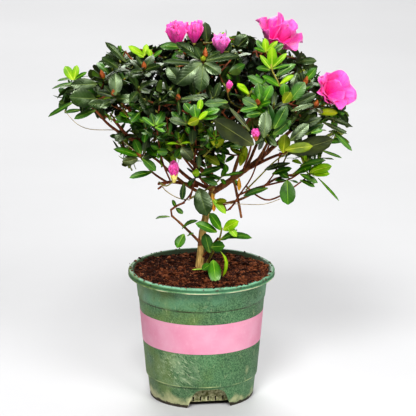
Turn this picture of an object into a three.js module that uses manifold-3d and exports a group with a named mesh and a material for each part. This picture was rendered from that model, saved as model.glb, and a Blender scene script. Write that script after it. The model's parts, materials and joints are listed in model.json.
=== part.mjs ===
// An azalea trained as a small bonsai, in a round nursery pot filled with peat.
// Millimetres, +Z up, -Y towards the viewer. The origin lies on the ground under the middle of the pot.
import * as THREE from "three";
import { mergeVertices } from "three/addons/utils/BufferGeometryUtils.js";
import Module from "manifold-3d";

// Space left between pieces that meet.
const CLEARANCE = 0.3;

// Angle from one leaf or shoot to the next round its stem.
const GOLDEN_ANGLE = Math.PI * (3 - Math.sqrt(5));

// The pot: radii are of the outside, heights are above the ground.
const POT = {
  rimRadius: 82.5,
  height: 147.3,
  lipHeight: 6.6,
  lipRound: 1.6,
  rimWidth: 5.5,
  collarTopRadius: 74.0,
  collarFootRadius: 71.9,
  collarHeight: 117.4,
  collarStep: 0.9,
  ridgeRadius: 63.0,
  ridgeHeight: 26.0,
  ridgeStep: 1.8,
  footRadius: 58.5,
  wall: 2.0,
  floorHeight: 5.0,
  floorThickness: 2.5,
  sides: 28,
};

// The arches cut in the pot's foot, each closed at the back by a wall with drain slots.
const ARCH = {
  count: 3,
  firstBearing: -81,
  footWidth: 50,
  topWidth: 32,
  height: 23,
  backRadius: 47,
  slots: 5,
  slotSpacing: 8.4,
  slotWidth: 1.6,
  slotFoot: 8,
  slotHeight: 5.2,
};

// The peat: its rim lies below the pot's rim and it rises a little to the trunk's foot.
const SOIL = { edgeHeight: 142.2, crownHeight: 143.9, flatRadius: 20 };

// The trunk leans to the right from its flared foot to the fork.
const TRUNK = {
  foot: new THREE.Vector3(-2, 8, SOIL.crownHeight + CLEARANCE),
  middle: new THREE.Vector3(2, 7, 192),
  fork: new THREE.Vector3(13, 4, 238),
  footRadius: 4.9,
  forkRadius: 4.2,
  flare: 3.2,
  flareShare: 0.16,
  sides: 9,
  steps: 8,
};

// Sections along and around a bough.
const BOUGH = { sides: 5, steps: 4, enters: 0.72 };

// Leaves, in whorls round the shoot tips.
const LEAF = { length: 36, shortest: 0.84, play: 0.3, width: 16, thickness: 1.7, widest: 0.54 };
const WHORL = { leaves: 5, spread: 64, alternate: 9, jitter: 6, lift: 0.4, budRadius: 2.6, budLength: 4.2 };
const TWIG = { radius: 1.2, sides: 3, steps: 1, stemSteps: 2, sag: 0.06, stemFork: 0.6, fork: 0.5 };
const SHOOT = { below: 0.42, reach: 0.5, play: 0.16, pulls: 6, pullShare: 0.15, firstSeed: 1000 };

// How far a leaf may reach past its mass's own space, and the volume that it may share with the mass.
const LEAF_ROOM = { stray: 9, crossing: 0.8 };

// Open flowers and half-open ones: a lobed trumpet on a short stalk, in shares of its length and mouth.
const BLOOM = {
  lobes: 5,
  lobeDepth: 0.16,
  stalkRadius: 1.6,
  sunk: 4,
  throatRadius: 0.34,
  throatHeight: 0.45,
  brimHeight: 0.94,
  innerBrim: 0.86,
  wellHeight: 0.55,
};

// Leaf masses of the crown and the bough that carries each of them. Every bough starts on the trunk or
// on an earlier bough, at a share of its length. The mass's middle is given by its bearing round the pot
// (degrees from +X towards +Y), its distance from the pot's axis and its height.
const MASSES = [
  { name: "top_middle", bough: "leader", from: "trunk", share: 0.985, girth: [7.0, 3.6], sag: 4,
    bearing: 150, distance: 10, height: 398, spread: 44, depth: 34, shoots: 5 },
  { name: "right_end", bough: "right_bough", from: "trunk", share: 0.96, girth: [7.4, 4.0], sag: -2,
    bearing: -4, distance: 126, height: 330, spread: 49, depth: 46, shoots: 6 },
  { name: "left_end", bough: "left_bough", from: "leader", share: 0.1, girth: [5.6, 3.4], sag: -7,
    bearing: 181, distance: 118, height: 352, spread: 47, depth: 36, shoots: 6 },
  { name: "front_left", bough: "front_bough", from: "leader", share: 0.3, girth: [4.6, 3.0], sag: 8,
    bearing: 251, distance: 92, height: 345, spread: 50, depth: 40, shoots: 6 },
  { name: "back_right", bough: "back_bough", from: "leader", share: 0.22, girth: [5.0, 3.0], sag: 8,
    bearing: 69, distance: 96, height: 348, spread: 50, depth: 40, shoots: 6 },
  { name: "low_left", bough: "left_low_bough", from: "trunk", share: 0.9, girth: [4.2, 3.0], sag: 10,
    bearing: 201, distance: 68, height: 287, spread: 46, depth: 32, shoots: 5 },
  { name: "low_right", bough: "right_low_bough", from: "trunk", share: 0.8, girth: [3.4, 2.6], sag: 14,
    bearing: -14, distance: 104, height: 262, spread: 50, depth: 32, shoots: 5 },
  { name: "right_front", bough: "right_front_bough", from: "right_bough", share: 0.55, girth: [3.8, 2.8],
    sag: 4, bearing: -38, distance: 110, height: 340, spread: 48, depth: 40, shoots: 6 },
  { name: "right_back", bough: "right_back_bough", from: "right_bough", share: 0.4, girth: [3.8, 2.8], sag: 4,
    bearing: 37, distance: 114, height: 348, spread: 48, depth: 40, shoots: 6 },
  { name: "top_right", bough: "top_right_bough", from: "right_bough", share: 0.22, girth: [4.4, 3.0], sag: 6,
    bearing: 3, distance: 76, height: 389, spread: 49, depth: 36, shoots: 6 },
  { name: "left_front", bough: "left_front_bough", from: "left_bough", share: 0.5, girth: [3.8, 2.8], sag: 3,
    bearing: 217, distance: 108, height: 352, spread: 48, depth: 38, shoots: 6 },
  { name: "left_back", bough: "left_back_bough", from: "left_bough", share: 0.4, girth: [3.8, 2.8], sag: 3,
    bearing: 144, distance: 114, height: 353, spread: 48, depth: 38, shoots: 6 },
  { name: "top_left", bough: "top_left_bough", from: "left_bough", share: 0.28, girth: [4.0, 2.8], sag: 5,
    bearing: 178, distance: 80, height: 390, spread: 48, depth: 34, shoots: 6 },
  { name: "front_right", bough: "front_right_bough", from: "front_bough", share: 0.4, girth: [3.6, 2.6], sag: 4,
    bearing: 292, distance: 97, height: 343, spread: 50, depth: 40, shoots: 6 },
  { name: "back_left", bough: "back_left_bough", from: "back_bough", share: 0.4, girth: [3.6, 2.6], sag: 4,
    bearing: 110, distance: 93, height: 351, spread: 50, depth: 40, shoots: 6 },
  { name: "top_front", bough: "top_front_bough", from: "leader", share: 0.66, girth: [3.8, 2.8], sag: 3,
    bearing: 276, distance: 60, height: 389, spread: 48, depth: 34, shoots: 6 },
  { name: "top_back", bough: "top_back_bough", from: "leader", share: 0.56, girth: [3.8, 2.8], sag: 3,
    bearing: 86, distance: 60, height: 391, spread: 48, depth: 34, shoots: 6 },
  { name: "low_front", bough: "low_front_bough", from: "front_bough", share: 0.22, girth: [3.2, 2.6], sag: 5,
    bearing: 261, distance: 54, height: 292, spread: 44, depth: 34, shoots: 5 },
  { name: "low_back", bough: "low_back_bough", from: "back_bough", share: 0.2, girth: [3.2, 2.6], sag: 5,
    bearing: 72, distance: 58, height: 297, spread: 46, depth: 34, shoots: 5 },
  { name: "left_shoot", bough: "left_shoot_stem", from: "trunk", share: 0.3, girth: [3.4, 2.6], sag: -2,
    entry: [-33, -8, 210], bearing: 222, distance: 25, height: 228, spread: 26, depth: 24, shoots: 2,
    leafShare: 0.55 },
  { name: "basal_sprig", from: "trunk", share: 0.1, girth: [3.0, 2.4],
    bearing: -20, distance: 20, height: 184, spread: 34, depth: 34, shoots: 3, leafShare: 0.75 },
];

// Dead wood left on a bough, with no leaves.
const STUBS = [
  { name: "dead_stub", from: "right_bough", share: 0.25, tip: [44.7, -6, 207], girth: [3.4, 2.8], sag: -3 },
];

// Flowers on the masses: place of the flower's foot, the way it faces, its length and its mouth's radius.
const FLOWERS = [
  { on: "top_right", foot: [79, 2, 409], faces: [0.16, -0.1, 1], length: 34, mouth: 30 },
  { on: "right_end", foot: [138, -8, 353], faces: [0.66, -0.66, 0.36], length: 26, mouth: 25 },
  { on: "top_middle", foot: [-24, 4, 408], faces: [-0.1, -0.05, 1], length: 30, mouth: 12 },
  { on: "top_middle", foot: [-9, 2, 412], faces: [0.06, -0.05, 1], length: 28, mouth: 9 },
  { on: "top_middle", foot: [19, -8, 404], faces: [0.12, -0.1, 1], length: 24, mouth: 9 },
  { on: "left_back", foot: [-100, 82, 374], faces: [-0.4, 0.6, 0.7], length: 28, mouth: 24 },
  { on: "back_right", foot: [42, 112, 372], faces: [0.2, 0.5, 1], length: 26, mouth: 10 },
];

const COLOUR = {
  pot: 0x4f7a58,
  soil: 0x3a241a,
  bark: 0x8a6238,
  twigBark: 0x6d4a2c,
  leaf: 0x35602f,
};

const wasm = await Module();
wasm.setup();

/** A random source that always repeats itself for one seed. */
function seeded(seed) {
  let state = seed >>> 0;
  return () => {
    state = (state + 0x6d2b79f5) >>> 0;
    let mixed = Math.imul(state ^ (state >>> 15), 1 | state);
    mixed = (mixed + Math.imul(mixed ^ (mixed >>> 7), 61 | mixed)) ^ mixed;
    return ((mixed ^ (mixed >>> 14)) >>> 0) / 4294967296;
  };
}

/** The closed solid of a geometry whose shared vertices are merged. */
function solidOf(geometry) {
  const bare = new THREE.BufferGeometry();
  bare.setAttribute("position", geometry.getAttribute("position").clone());
  bare.setIndex(geometry.getIndex());
  const merged = mergeVertices(bare, 1e-4);
  const mesh = new wasm.Mesh({
    numProp: 3,
    vertProperties: new Float32Array(merged.getAttribute("position").array),
    triVerts: new Uint32Array(merged.getIndex().array),
  });
  return new wasm.Manifold(mesh);
}

/** The geometry of a solid's largest body, without the small scraps or sealed hollows of a cut. */
function geometryOf(solid) {
  const bodies = solid.decompose().sort((a, b) => b.volume() - a.volume());
  const mesh = bodies[0].getMesh();
  const geometry = new THREE.BufferGeometry();
  geometry.setAttribute("position", new THREE.BufferAttribute(new Float32Array(mesh.vertProperties), 3));
  geometry.setIndex(new THREE.BufferAttribute(new Uint32Array(mesh.triVerts), 1));
  geometry.computeVertexNormals();
  return geometry;
}

/** A named mesh with a finish of its own. */
function piece(name, geometry, colour, roughness) {
  const material = new THREE.MeshStandardMaterial({ color: colour, roughness, metalness: 0 });
  const mesh = new THREE.Mesh(geometry, material);
  mesh.name = name;
  return mesh;
}

/** A round solid turned about the Z axis from [radius, height] points that run up its outside. */
function turned(points, sides) {
  const outline = points.map(([radius, height]) => new THREE.Vector2(radius, height));
  const geometry = new THREE.LatheGeometry(outline, sides);
  return solidOf(geometry.rotateX(Math.PI / 2));
}

/** The outside of the pot, from the middle of its underside up to the rim. */
function potOutside() {
  const lipFoot = POT.height - POT.lipHeight;
  return turned([
    [0, 0],
    [POT.footRadius, 0],
    [POT.ridgeRadius - POT.ridgeStep, POT.ridgeHeight - 1],
    [POT.ridgeRadius, POT.ridgeHeight],
    [POT.collarFootRadius - POT.collarStep, POT.collarHeight - 0.8],
    [POT.collarFootRadius, POT.collarHeight],
    [POT.collarTopRadius, lipFoot],
    [POT.rimRadius - POT.lipRound, lipFoot],
    [POT.rimRadius, lipFoot + POT.lipRound],
    [POT.rimRadius, POT.height - POT.lipRound],
    [POT.rimRadius - POT.lipRound, POT.height],
    [0, POT.height],
  ], POT.sides);
}

/** The inner wall of the pot from the floor's edge up to the lip, set in by an extra margin. */
function innerWall(margin) {
  const inset = POT.wall + margin;
  return [
    [0, POT.floorHeight + POT.floorThickness + margin],
    [POT.footRadius - inset, POT.floorHeight + POT.floorThickness + margin],
    [POT.ridgeRadius - POT.ridgeStep - inset, POT.ridgeHeight],
    [POT.collarTopRadius - inset, POT.height - POT.lipHeight],
  ];
}

/** The hollow that the peat fills, widened at the rim and open at the top. */
function potHollow() {
  const mouth = POT.rimRadius - POT.rimWidth;
  const above = POT.height + 1;
  return turned([...innerWall(0), [mouth, POT.height], [mouth, above], [0, above]], POT.sides);
}

/** A straight block with an arched front, standing at one bearing from a radius outwards. */
function archBlock(bearing, innerRadius, margin) {
  const half = ARCH.footWidth / 2 + margin;
  const topHalf = ARCH.topWidth / 2 + margin;
  const top = ARCH.height + margin;
  const outline = new THREE.Shape();
  outline.moveTo(-half, -1);
  outline.lineTo(half, -1);
  outline.quadraticCurveTo(half - 1, top, topHalf, top);
  outline.lineTo(-topHalf, top);
  outline.quadraticCurveTo(1 - half, top, -half, -1);
  const depth = POT.rimRadius - innerRadius;
  const geometry = new THREE.ExtrudeGeometry(outline, { depth, bevelEnabled: false, curveSegments: 4 });
  geometry.rotateX(Math.PI / 2);
  geometry.rotateZ(Math.PI);
  geometry.translate(0, innerRadius, 0);
  geometry.rotateZ(THREE.MathUtils.degToRad(bearing - 90));
  return solidOf(geometry);
}

/** The drain slots through the wall behind one arch. */
function drainSlots(bearing) {
  const slots = [];
  for (let index = 0; index < ARCH.slots; index += 1) {
    const offset = (index - (ARCH.slots - 1) / 2) * ARCH.slotSpacing;
    const geometry = new THREE.BoxGeometry(ARCH.slotWidth, POT.wall * 3, ARCH.slotHeight);
    geometry.translate(offset, ARCH.backRadius, ARCH.slotFoot + ARCH.slotHeight / 2);
    geometry.rotateZ(THREE.MathUtils.degToRad(bearing - 90));
    slots.push(solidOf(geometry));
  }
  return slots;
}

/** The bearings of the arches round the foot. */
function archBearings() {
  return Array.from({ length: ARCH.count }, (_, index) => ARCH.firstBearing + (index * 360) / ARCH.count);
}

/** The thin-walled pot: hollow, open under its floor, with arches and drain slots in its foot. */
function makePot() {
  let hollow = potHollow();
  for (const bearing of archBearings()) {
    hollow = hollow.subtract(archBlock(bearing, ARCH.backRadius - POT.wall, POT.wall));
  }
  const underside = turned([
    [0, -1],
    [POT.footRadius - POT.wall, -1],
    [POT.footRadius - POT.wall + 0.6, POT.floorHeight],
    [0, POT.floorHeight],
  ], POT.sides);
  let pot = potOutside().subtract(hollow).subtract(underside);
  for (const bearing of archBearings()) {
    pot = pot.subtract(archBlock(bearing, ARCH.backRadius, 0));
    for (const slot of drainSlots(bearing)) {
      pot = pot.subtract(slot);
    }
  }
  return pot;
}

/** The peat, a body that fills the pot and rises to a flat place under the trunk. */
function makeSoil() {
  const edgeRadius = POT.collarTopRadius - POT.wall - CLEARANCE;
  let soil = turned([
    ...innerWall(CLEARANCE),
    [edgeRadius, SOIL.edgeHeight],
    [SOIL.flatRadius, SOIL.crownHeight],
    [0, SOIL.crownHeight],
  ], POT.sides);
  for (const bearing of archBearings()) {
    soil = soil.subtract(archBlock(bearing, ARCH.backRadius - POT.wall - CLEARANCE, POT.wall + CLEARANCE));
  }
  return soil;
}

/** A tapering limb along a curve, made from a cylinder that is bent to follow it. */
function limb(curve, radiusAt, sides, steps) {
  const geometry = new THREE.CylinderGeometry(1, 1, 1, sides, steps);
  const frames = curve.computeFrenetFrames(steps, false);
  const position = geometry.getAttribute("position");
  const across = new THREE.Vector3();
  for (let index = 0; index < position.count; index += 1) {
    const share = position.getY(index) + 0.5;
    const step = Math.round(share * steps);
    const radius = radiusAt(share);
    const side = across.crossVectors(frames.normals[step], frames.tangents[step]);
    const place = curve.getPointAt(share);
    place.addScaledVector(frames.normals[step], position.getX(index) * radius);
    place.addScaledVector(side, position.getZ(index) * radius);
    position.setXYZ(index, place.x, place.y, place.z);
  }
  return solidOf(geometry);
}

/** The trunk's radius at a share of its length, widened towards its foot. */
function trunkRadius(share) {
  const flare = Math.max(0, 1 - share / TRUNK.flareShare) ** 2;
  return THREE.MathUtils.lerp(TRUNK.footRadius, TRUNK.forkRadius, share) + TRUNK.flare * flare;
}

/** The trunk's line. Its lowest stretch is upright, so that the cut at the peat is level. */
function trunkLine() {
  const upright = TRUNK.foot.clone().setZ(TRUNK.foot.z + 4);
  return new THREE.CatmullRomCurve3([TRUNK.foot, upright, TRUNK.middle, TRUNK.fork]);
}

/** The middle of a leaf mass. */
function massMiddle(mass) {
  const bearing = THREE.MathUtils.degToRad(mass.bearing);
  return new THREE.Vector3(Math.cos(bearing) * mass.distance, Math.sin(bearing) * mass.distance, mass.height);
}

/** Where a bough that starts at one point enters the mass it carries. */
function boughEntry(mass, start) {
  if (mass.entry) {
    return new THREE.Vector3(...mass.entry);
  }
  const middle = massMiddle(mass);
  const inward = start.clone().sub(middle);
  const scaled = new THREE.Vector3(inward.x / mass.spread, inward.y / mass.spread, inward.z / mass.depth);
  return middle.addScaledVector(inward, BOUGH.enters / scaled.length());
}

/** A limb's line, bowed down by its sag between two points. */
function bowedLine(start, end, sag) {
  const bend = start.clone().lerp(end, 0.5);
  bend.z -= sag;
  return new THREE.QuadraticBezierCurve3(start, bend, end);
}

/** Every limb by name: its line, its radius along the line and its solid with and without clearance. */
function makeLimbs() {
  const limbs = new Map();
  const addLimb = (name, line, radiusAt, sides, steps) => {
    let solid = limb(line, radiusAt, sides, steps);
    for (const other of limbs.values()) {
      solid = solid.subtract(other.clear);
    }
    const clear = limb(line, (share) => radiusAt(share) + CLEARANCE, sides, steps);
    limbs.set(name, { line, solid, clear });
  };
  addLimb("trunk", trunkLine(), trunkRadius, TRUNK.sides, TRUNK.steps);
  const addBough = (name, { from, share, girth, sag }, endOf) => {
    const start = limbs.get(from).line.getPointAt(share);
    const radiusAt = (along) => THREE.MathUtils.lerp(girth[0], girth[1], along) / 2;
    addLimb(name, bowedLine(start, endOf(start), sag), radiusAt, BOUGH.sides, BOUGH.steps);
  };
  for (const mass of MASSES.filter((entry) => entry.bough)) {
    addBough(mass.bough, mass, (start) => boughEntry(mass, start));
  }
  for (const stub of STUBS) {
    addBough(stub.name, stub, () => new THREE.Vector3(...stub.tip));
  }
  return limbs;
}

/** The volume that two solids share. */
function sharedVolume(first, second) {
  const a = first.boundingBox();
  const b = second.boundingBox();
  const apart = [0, 1, 2].some((axis) => a.max[axis] < b.min[axis] || b.max[axis] < a.min[axis]);
  if (apart) {
    return 0;
  }
  const shared = first.intersect(second);
  const volume = shared.volume();
  shared.delete();
  return volume;
}

/** How far a point lies inside the space of one mass, against its neighbours' spaces. */
function insideBy(point, mass, cells) {
  let least = Infinity;
  const own = cells.find((cell) => cell.name === mass.name);
  for (const cell of cells) {
    if (cell.name !== mass.name) {
      const power = point.distanceToSquared(cell.middle) - cell.weight ** 2;
      const ownPower = point.distanceToSquared(own.middle) - own.weight ** 2;
      least = Math.min(least, (power - ownPower) / (2 * own.middle.distanceTo(cell.middle)));
    }
  }
  return least;
}

/** A leaf's plain form: one unit long from its foot at the origin along +X, folded up along its midrib. */
function leafForm() {
  const geometry = new THREE.TetrahedronGeometry(Math.sqrt(3));
  const position = geometry.getAttribute("position");
  const halfWidth = LEAF.width / LEAF.length / 2;
  for (let index = 0; index < position.count; index += 1) {
    if (position.getX(index) > 0) {
      position.setXYZ(index, (position.getY(index) + 1) / 2, 0, 0);
    } else {
      position.setXYZ(index, LEAF.widest, LEAF.thickness / LEAF.length, position.getZ(index) * halfWidth);
    }
  }
  return geometry;
}

const LEAF_FORM = leafForm();

/** A leaf set at its foot, pointing one way, with its face towards another. */
function leaf(foot, direction, face, length) {
  const side = new THREE.Vector3().crossVectors(direction, face).normalize();
  const up = new THREE.Vector3().crossVectors(side, direction).normalize();
  const placed = new THREE.Matrix4().makeBasis(direction, up, side);
  placed.scale(new THREE.Vector3(length, length, length)).setPosition(foot);
  return solidOf(LEAF_FORM.clone().applyMatrix4(placed));
}

/** A straight or gently curved twig between two points. */
function twig(start, end, endRadius) {
  const line = bowedLine(start, end, start.distanceTo(end) * TWIG.sag);
  const radiusAt = (share) => THREE.MathUtils.lerp(TWIG.radius, endRadius, share);
  return { line, solid: limb(line, radiusAt, TWIG.sides, TWIG.steps) };
}

/** The bud at a shoot's tip, with a side for each leaf of the whorl that grows from it. */
function bud(tip, axis, side) {
  const geometry = new THREE.SphereGeometry(1, WHORL.leaves, 2).rotateX(Math.PI / 2);
  const placed = new THREE.Matrix4().makeBasis(side, new THREE.Vector3().crossVectors(axis, side), axis);
  placed.scale(new THREE.Vector3(WHORL.budRadius, WHORL.budRadius, WHORL.budLength)).setPosition(tip);
  return solidOf(geometry.applyMatrix4(placed));
}

/** A flower: a lobed trumpet along +Z from its foot, then turned to the way it faces. */
function flower({ foot, faces, length, mouth }) {
  const sides = BLOOM.lobes * 2;
  const outline = [
    [0, -BLOOM.sunk],
    [mouth * BLOOM.throatRadius, length * BLOOM.throatHeight],
    [mouth, length * BLOOM.brimHeight],
    [mouth * BLOOM.innerBrim, length],
    [0, length * BLOOM.wellHeight],
  ];
  const points = outline.map(([radius, height]) => new THREE.Vector2(radius, height));
  const geometry = new THREE.LatheGeometry(points, sides).rotateX(Math.PI / 2);
  const position = geometry.getAttribute("position");
  for (let index = 0; index < position.count; index += 1) {
    const turn = Math.atan2(position.getY(index), position.getX(index));
    const radius = Math.hypot(position.getX(index), position.getY(index));
    const lobed = 1 + (BLOOM.lobeDepth * Math.cos(turn * BLOOM.lobes) - BLOOM.lobeDepth) * (radius / mouth);
    position.setXY(index, position.getX(index) * lobed, position.getY(index) * lobed);
  }
  const turnTo = new THREE.Quaternion();
  turnTo.setFromUnitVectors(new THREE.Vector3(0, 0, 1), new THREE.Vector3(...faces).normalize());
  geometry.applyQuaternion(turnTo).translate(...foot);
  return solidOf(geometry);
}

/** The way a shoot of a mass points, by its place in the golden spiral. */
function shootDirection(index, count, turn) {
  const up = 1 - ((index + 0.5) / count) * (1 + SHOOT.below);
  const ring = Math.sqrt(1 - up * up);
  const angle = turn + index * GOLDEN_ANGLE;
  return new THREE.Vector3(Math.cos(angle) * ring, Math.sin(angle) * ring, up);
}

/** The nearest of the points that a new twig can fork from. */
function nearest(points, target) {
  return points.reduce((best, point) => (point.distanceTo(target) < best.distanceTo(target) ? point : best));
}

/** The line that a mass's stem follows, from its bough's tip or from the trunk to the middle of the mass. */
function stemLine(mass, limbs) {
  const middle = massMiddle(mass);
  if (!mass.bough) {
    return bowedLine(limbs.get(mass.from).line.getPointAt(mass.share), middle, 0);
  }
  const line = limbs.get(mass.bough).line;
  const heading = line.getTangentAt(1);
  const start = line.getPointAt(1).addScaledVector(heading, CLEARANCE);
  const bend = start.clone().addScaledVector(heading, start.distanceTo(middle) / 2);
  return new THREE.QuadraticBezierCurve3(start, bend, middle);
}

/** One leaf mass: a stem, twigs that fork by rule, whorls of leaves and any flowers, fused together. */
function makeMass(mass, order, limbs, obstacles, cells) {
  const random = seeded(SHOOT.firstSeed + order);
  const middle = massMiddle(mass);
  const leafLength = LEAF.length * (mass.leafShare ?? 1);
  const stem = stemLine(mass, limbs);
  const stemRadius = (share) => THREE.MathUtils.lerp(mass.girth[1] / 2, TWIG.radius, share);
  let fused = limb(stem, stemRadius, TWIG.sides, TWIG.stemSteps).subtract(limbs.get(mass.from).clear);
  const forks = [stem.getPointAt(TWIG.stemFork), middle];

  const fits = (points, solid) => {
    const within = points.every((point) => insideBy(point, mass, cells) > -LEAF_ROOM.stray);
    return within && obstacles.every((obstacle) => sharedVolume(obstacle, solid) === 0);
  };

  const addLeaf = (tip, axis, out, spread, length, heart) => {
    const direction = axis.clone().multiplyScalar(Math.cos(spread)).addScaledVector(out, Math.sin(spread));
    const face = axis.clone().multiplyScalar(Math.sin(spread)).addScaledVector(out, -Math.cos(spread));
    const blade = leaf(tip, direction, face, length);
    const end = tip.clone().addScaledVector(direction, length);
    const crossing = sharedVolume(fused, blade) - sharedVolume(heart, blade);
    if (crossing < LEAF_ROOM.crossing && fits([end], blade)) {
      fused = fused.add(blade);
    }
  };

  const addWhorl = (tip, axis) => {
    const side = new THREE.Vector3(-axis.z, 0, axis.x).normalize();
    const heart = bud(tip, axis, side);
    fused = fused.add(heart);
    for (let turn = 0; turn < WHORL.leaves; turn += 1) {
      const sway = (turn % 2 ? 1 : -1) * WHORL.alternate + (random() * 2 - 1) * WHORL.jitter;
      const spread = THREE.MathUtils.degToRad(WHORL.spread + sway);
      const out = side.clone().applyAxisAngle(axis, (turn * 2 * Math.PI) / WHORL.leaves);
      addLeaf(tip, axis, out, spread, leafLength * (LEAF.shortest + LEAF.play * random()), heart);
    }
  };

  for (let index = 0; index < mass.shoots; index += 1) {
    const outward = shootDirection(index, mass.shoots, order);
    const reach = SHOOT.reach + SHOOT.play * random();
    const tip = new THREE.Vector3(mass.spread, mass.spread, mass.depth).multiply(outward).multiplyScalar(reach);
    tip.add(middle);
    for (let pull = 0; pull < SHOOT.pulls && insideBy(tip, mass, cells) < LEAF.width / 2; pull += 1) {
      tip.lerp(middle, SHOOT.pullShare);
    }
    const shoot = twig(nearest(forks, tip), tip, TWIG.radius);
    if (fits([tip], shoot.solid)) {
      fused = fused.add(shoot.solid);
      forks.push(shoot.line.getPointAt(TWIG.fork));
      const axis = shoot.line.getTangentAt(1).add(outward);
      axis.z += WHORL.lift;
      addWhorl(tip, axis.normalize());
    }
  }

  for (const bloom of FLOWERS.filter((entry) => entry.on === mass.name)) {
    const foot = new THREE.Vector3(...bloom.foot);
    const stalk = twig(nearest(forks, foot), foot, BLOOM.stalkRadius);
    fused = fused.add(stalk.solid).add(flower(bloom));
  }
  return fused;
}

/** The whole plant in its pot. */
function makeAzalea() {
  const pot = makePot();
  const soil = makeSoil();
  const potGroup = new THREE.Group();
  potGroup.add(piece("pot", geometryOf(pot), COLOUR.pot, 0.45));
  potGroup.add(piece("soil", geometryOf(soil), COLOUR.soil, 0.95));

  const limbs = makeLimbs();
  const limbGroup = new THREE.Group();
  const obstacles = [pot, soil];
  for (const [name, entry] of limbs) {
    const colour = name === "trunk" ? COLOUR.bark : COLOUR.twigBark;
    limbGroup.add(piece(name, geometryOf(entry.solid), colour, 0.8));
    obstacles.push(entry.clear);
  }

  const cells = MASSES.map((mass) => ({ name: mass.name, middle: massMiddle(mass), weight: mass.spread }));
  const foliageGroup = new THREE.Group();
  MASSES.forEach((mass, order) => {
    const solid = makeMass(mass, order, limbs, obstacles, cells);
    foliageGroup.add(piece(`foliage_${mass.name}`, geometryOf(solid), COLOUR.leaf, 0.5));
    obstacles.push(solid);
  });

  const azalea = new THREE.Group();
  azalea.add(potGroup, limbGroup, foliageGroup);
  return azalea;
}

export default makeAzalea();
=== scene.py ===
"""An azalea trained as a small bonsai in a round nursery pot, dressed for rendering round its solids.

Sizes are in millimetres with +Z up and -Y towards the viewer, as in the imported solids. They become metres
where a mesh is made.
"""
import json
import logging
import math
from dataclasses import dataclass, field
from enum import Enum
from typing import Callable, Iterable, Optional, Sequence

import bpy
import numpy as np
from bpy.types import Material, Node, NodeSocket, Object
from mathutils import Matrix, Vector, noise
from mathutils.kdtree import KDTree

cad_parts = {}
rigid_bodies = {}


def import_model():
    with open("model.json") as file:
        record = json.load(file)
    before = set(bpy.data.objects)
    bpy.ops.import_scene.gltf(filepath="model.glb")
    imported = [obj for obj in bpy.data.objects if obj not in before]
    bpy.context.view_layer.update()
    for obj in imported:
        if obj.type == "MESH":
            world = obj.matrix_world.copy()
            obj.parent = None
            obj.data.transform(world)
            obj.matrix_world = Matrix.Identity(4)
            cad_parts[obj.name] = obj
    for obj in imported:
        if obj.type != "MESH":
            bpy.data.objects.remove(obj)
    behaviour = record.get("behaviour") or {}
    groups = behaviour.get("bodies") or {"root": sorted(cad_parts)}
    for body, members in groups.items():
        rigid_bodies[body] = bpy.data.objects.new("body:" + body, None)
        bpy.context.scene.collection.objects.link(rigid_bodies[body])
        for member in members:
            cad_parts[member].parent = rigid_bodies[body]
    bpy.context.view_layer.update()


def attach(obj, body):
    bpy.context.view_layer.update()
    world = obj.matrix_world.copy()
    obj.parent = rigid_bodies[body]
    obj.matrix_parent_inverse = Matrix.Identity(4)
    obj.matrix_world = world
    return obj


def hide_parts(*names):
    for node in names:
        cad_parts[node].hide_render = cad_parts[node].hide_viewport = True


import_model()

LOG = logging.getLogger("azalea")

MM = 0.001
UP = np.array([0.0, 0.0, 1.0])
FULL_TURN = 2 * math.pi
GOLDEN_ANGLE = math.pi * (3 - math.sqrt(5))

Array = np.ndarray
Point = tuple[float, float, float]
Pair = tuple[float, float]
Seen = tuple[float, float]
Shade = tuple[int, int, int]
Faces = list[tuple[int, ...]]
Girth = Callable[[float], float]
Random = np.random.Generator


def unit(vector: Array) -> Array:
    """A vector of length one that points the same way."""
    return vector / max(float(np.linalg.norm(vector)), 1e-9)


def gap(first: Array, second: Array) -> float:
    """The distance between two points."""
    return float(np.linalg.norm(first - second))


def lerp(first: float, second: float, share: float) -> float:
    """The value at a share of the way from one number to another."""
    return first + (second - first) * share


def turned(vector: Array, axis: Array, angle: float) -> Array:
    """A vector turned about a unit axis by an angle in radians."""
    along = axis * float(axis @ vector)
    return along + (vector - along) * math.cos(angle) + np.cross(axis, vector) * math.sin(angle)


def square_to(axis: Array) -> Array:
    """A unit vector at right angles to a unit axis."""
    helper = np.array([1.0, 0.0, 0.0]) if abs(axis[0]) < 0.8 else np.array([0.0, 1.0, 0.0])
    return unit(np.cross(axis, helper))


def linear(colour: Shade) -> tuple[float, ...]:
    """A screen colour, from 0 to 255 in each channel, as the linear colour that a shader takes."""
    shares = np.array(colour) / 255
    return (*np.where(shares <= 0.04045, shares / 12.92, ((shares + 0.055) / 1.055) ** 2.4), 1.0)


def seeded(seed: int) -> Callable[[], float]:
    """A random source that repeats itself for one seed, the same one that grows the solids.

    Args:
        seed: The number that picks the sequence.

    Returns:
        A function that gives the next number from 0 up to 1.
    """
    mask = 0xFFFFFFFF
    state = seed & mask

    def step() -> float:
        """The next number of the sequence."""
        nonlocal state
        state = (state + 0x6D2B79F5) & mask
        mixed = ((state ^ (state >> 15)) * (1 | state)) & mask
        mixed = ((mixed + ((mixed ^ (mixed >> 7)) * (61 | mixed))) & mask) ^ mixed
        return (mixed ^ (mixed >> 14)) / 4294967296

    return step


# The photograph's view


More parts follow.
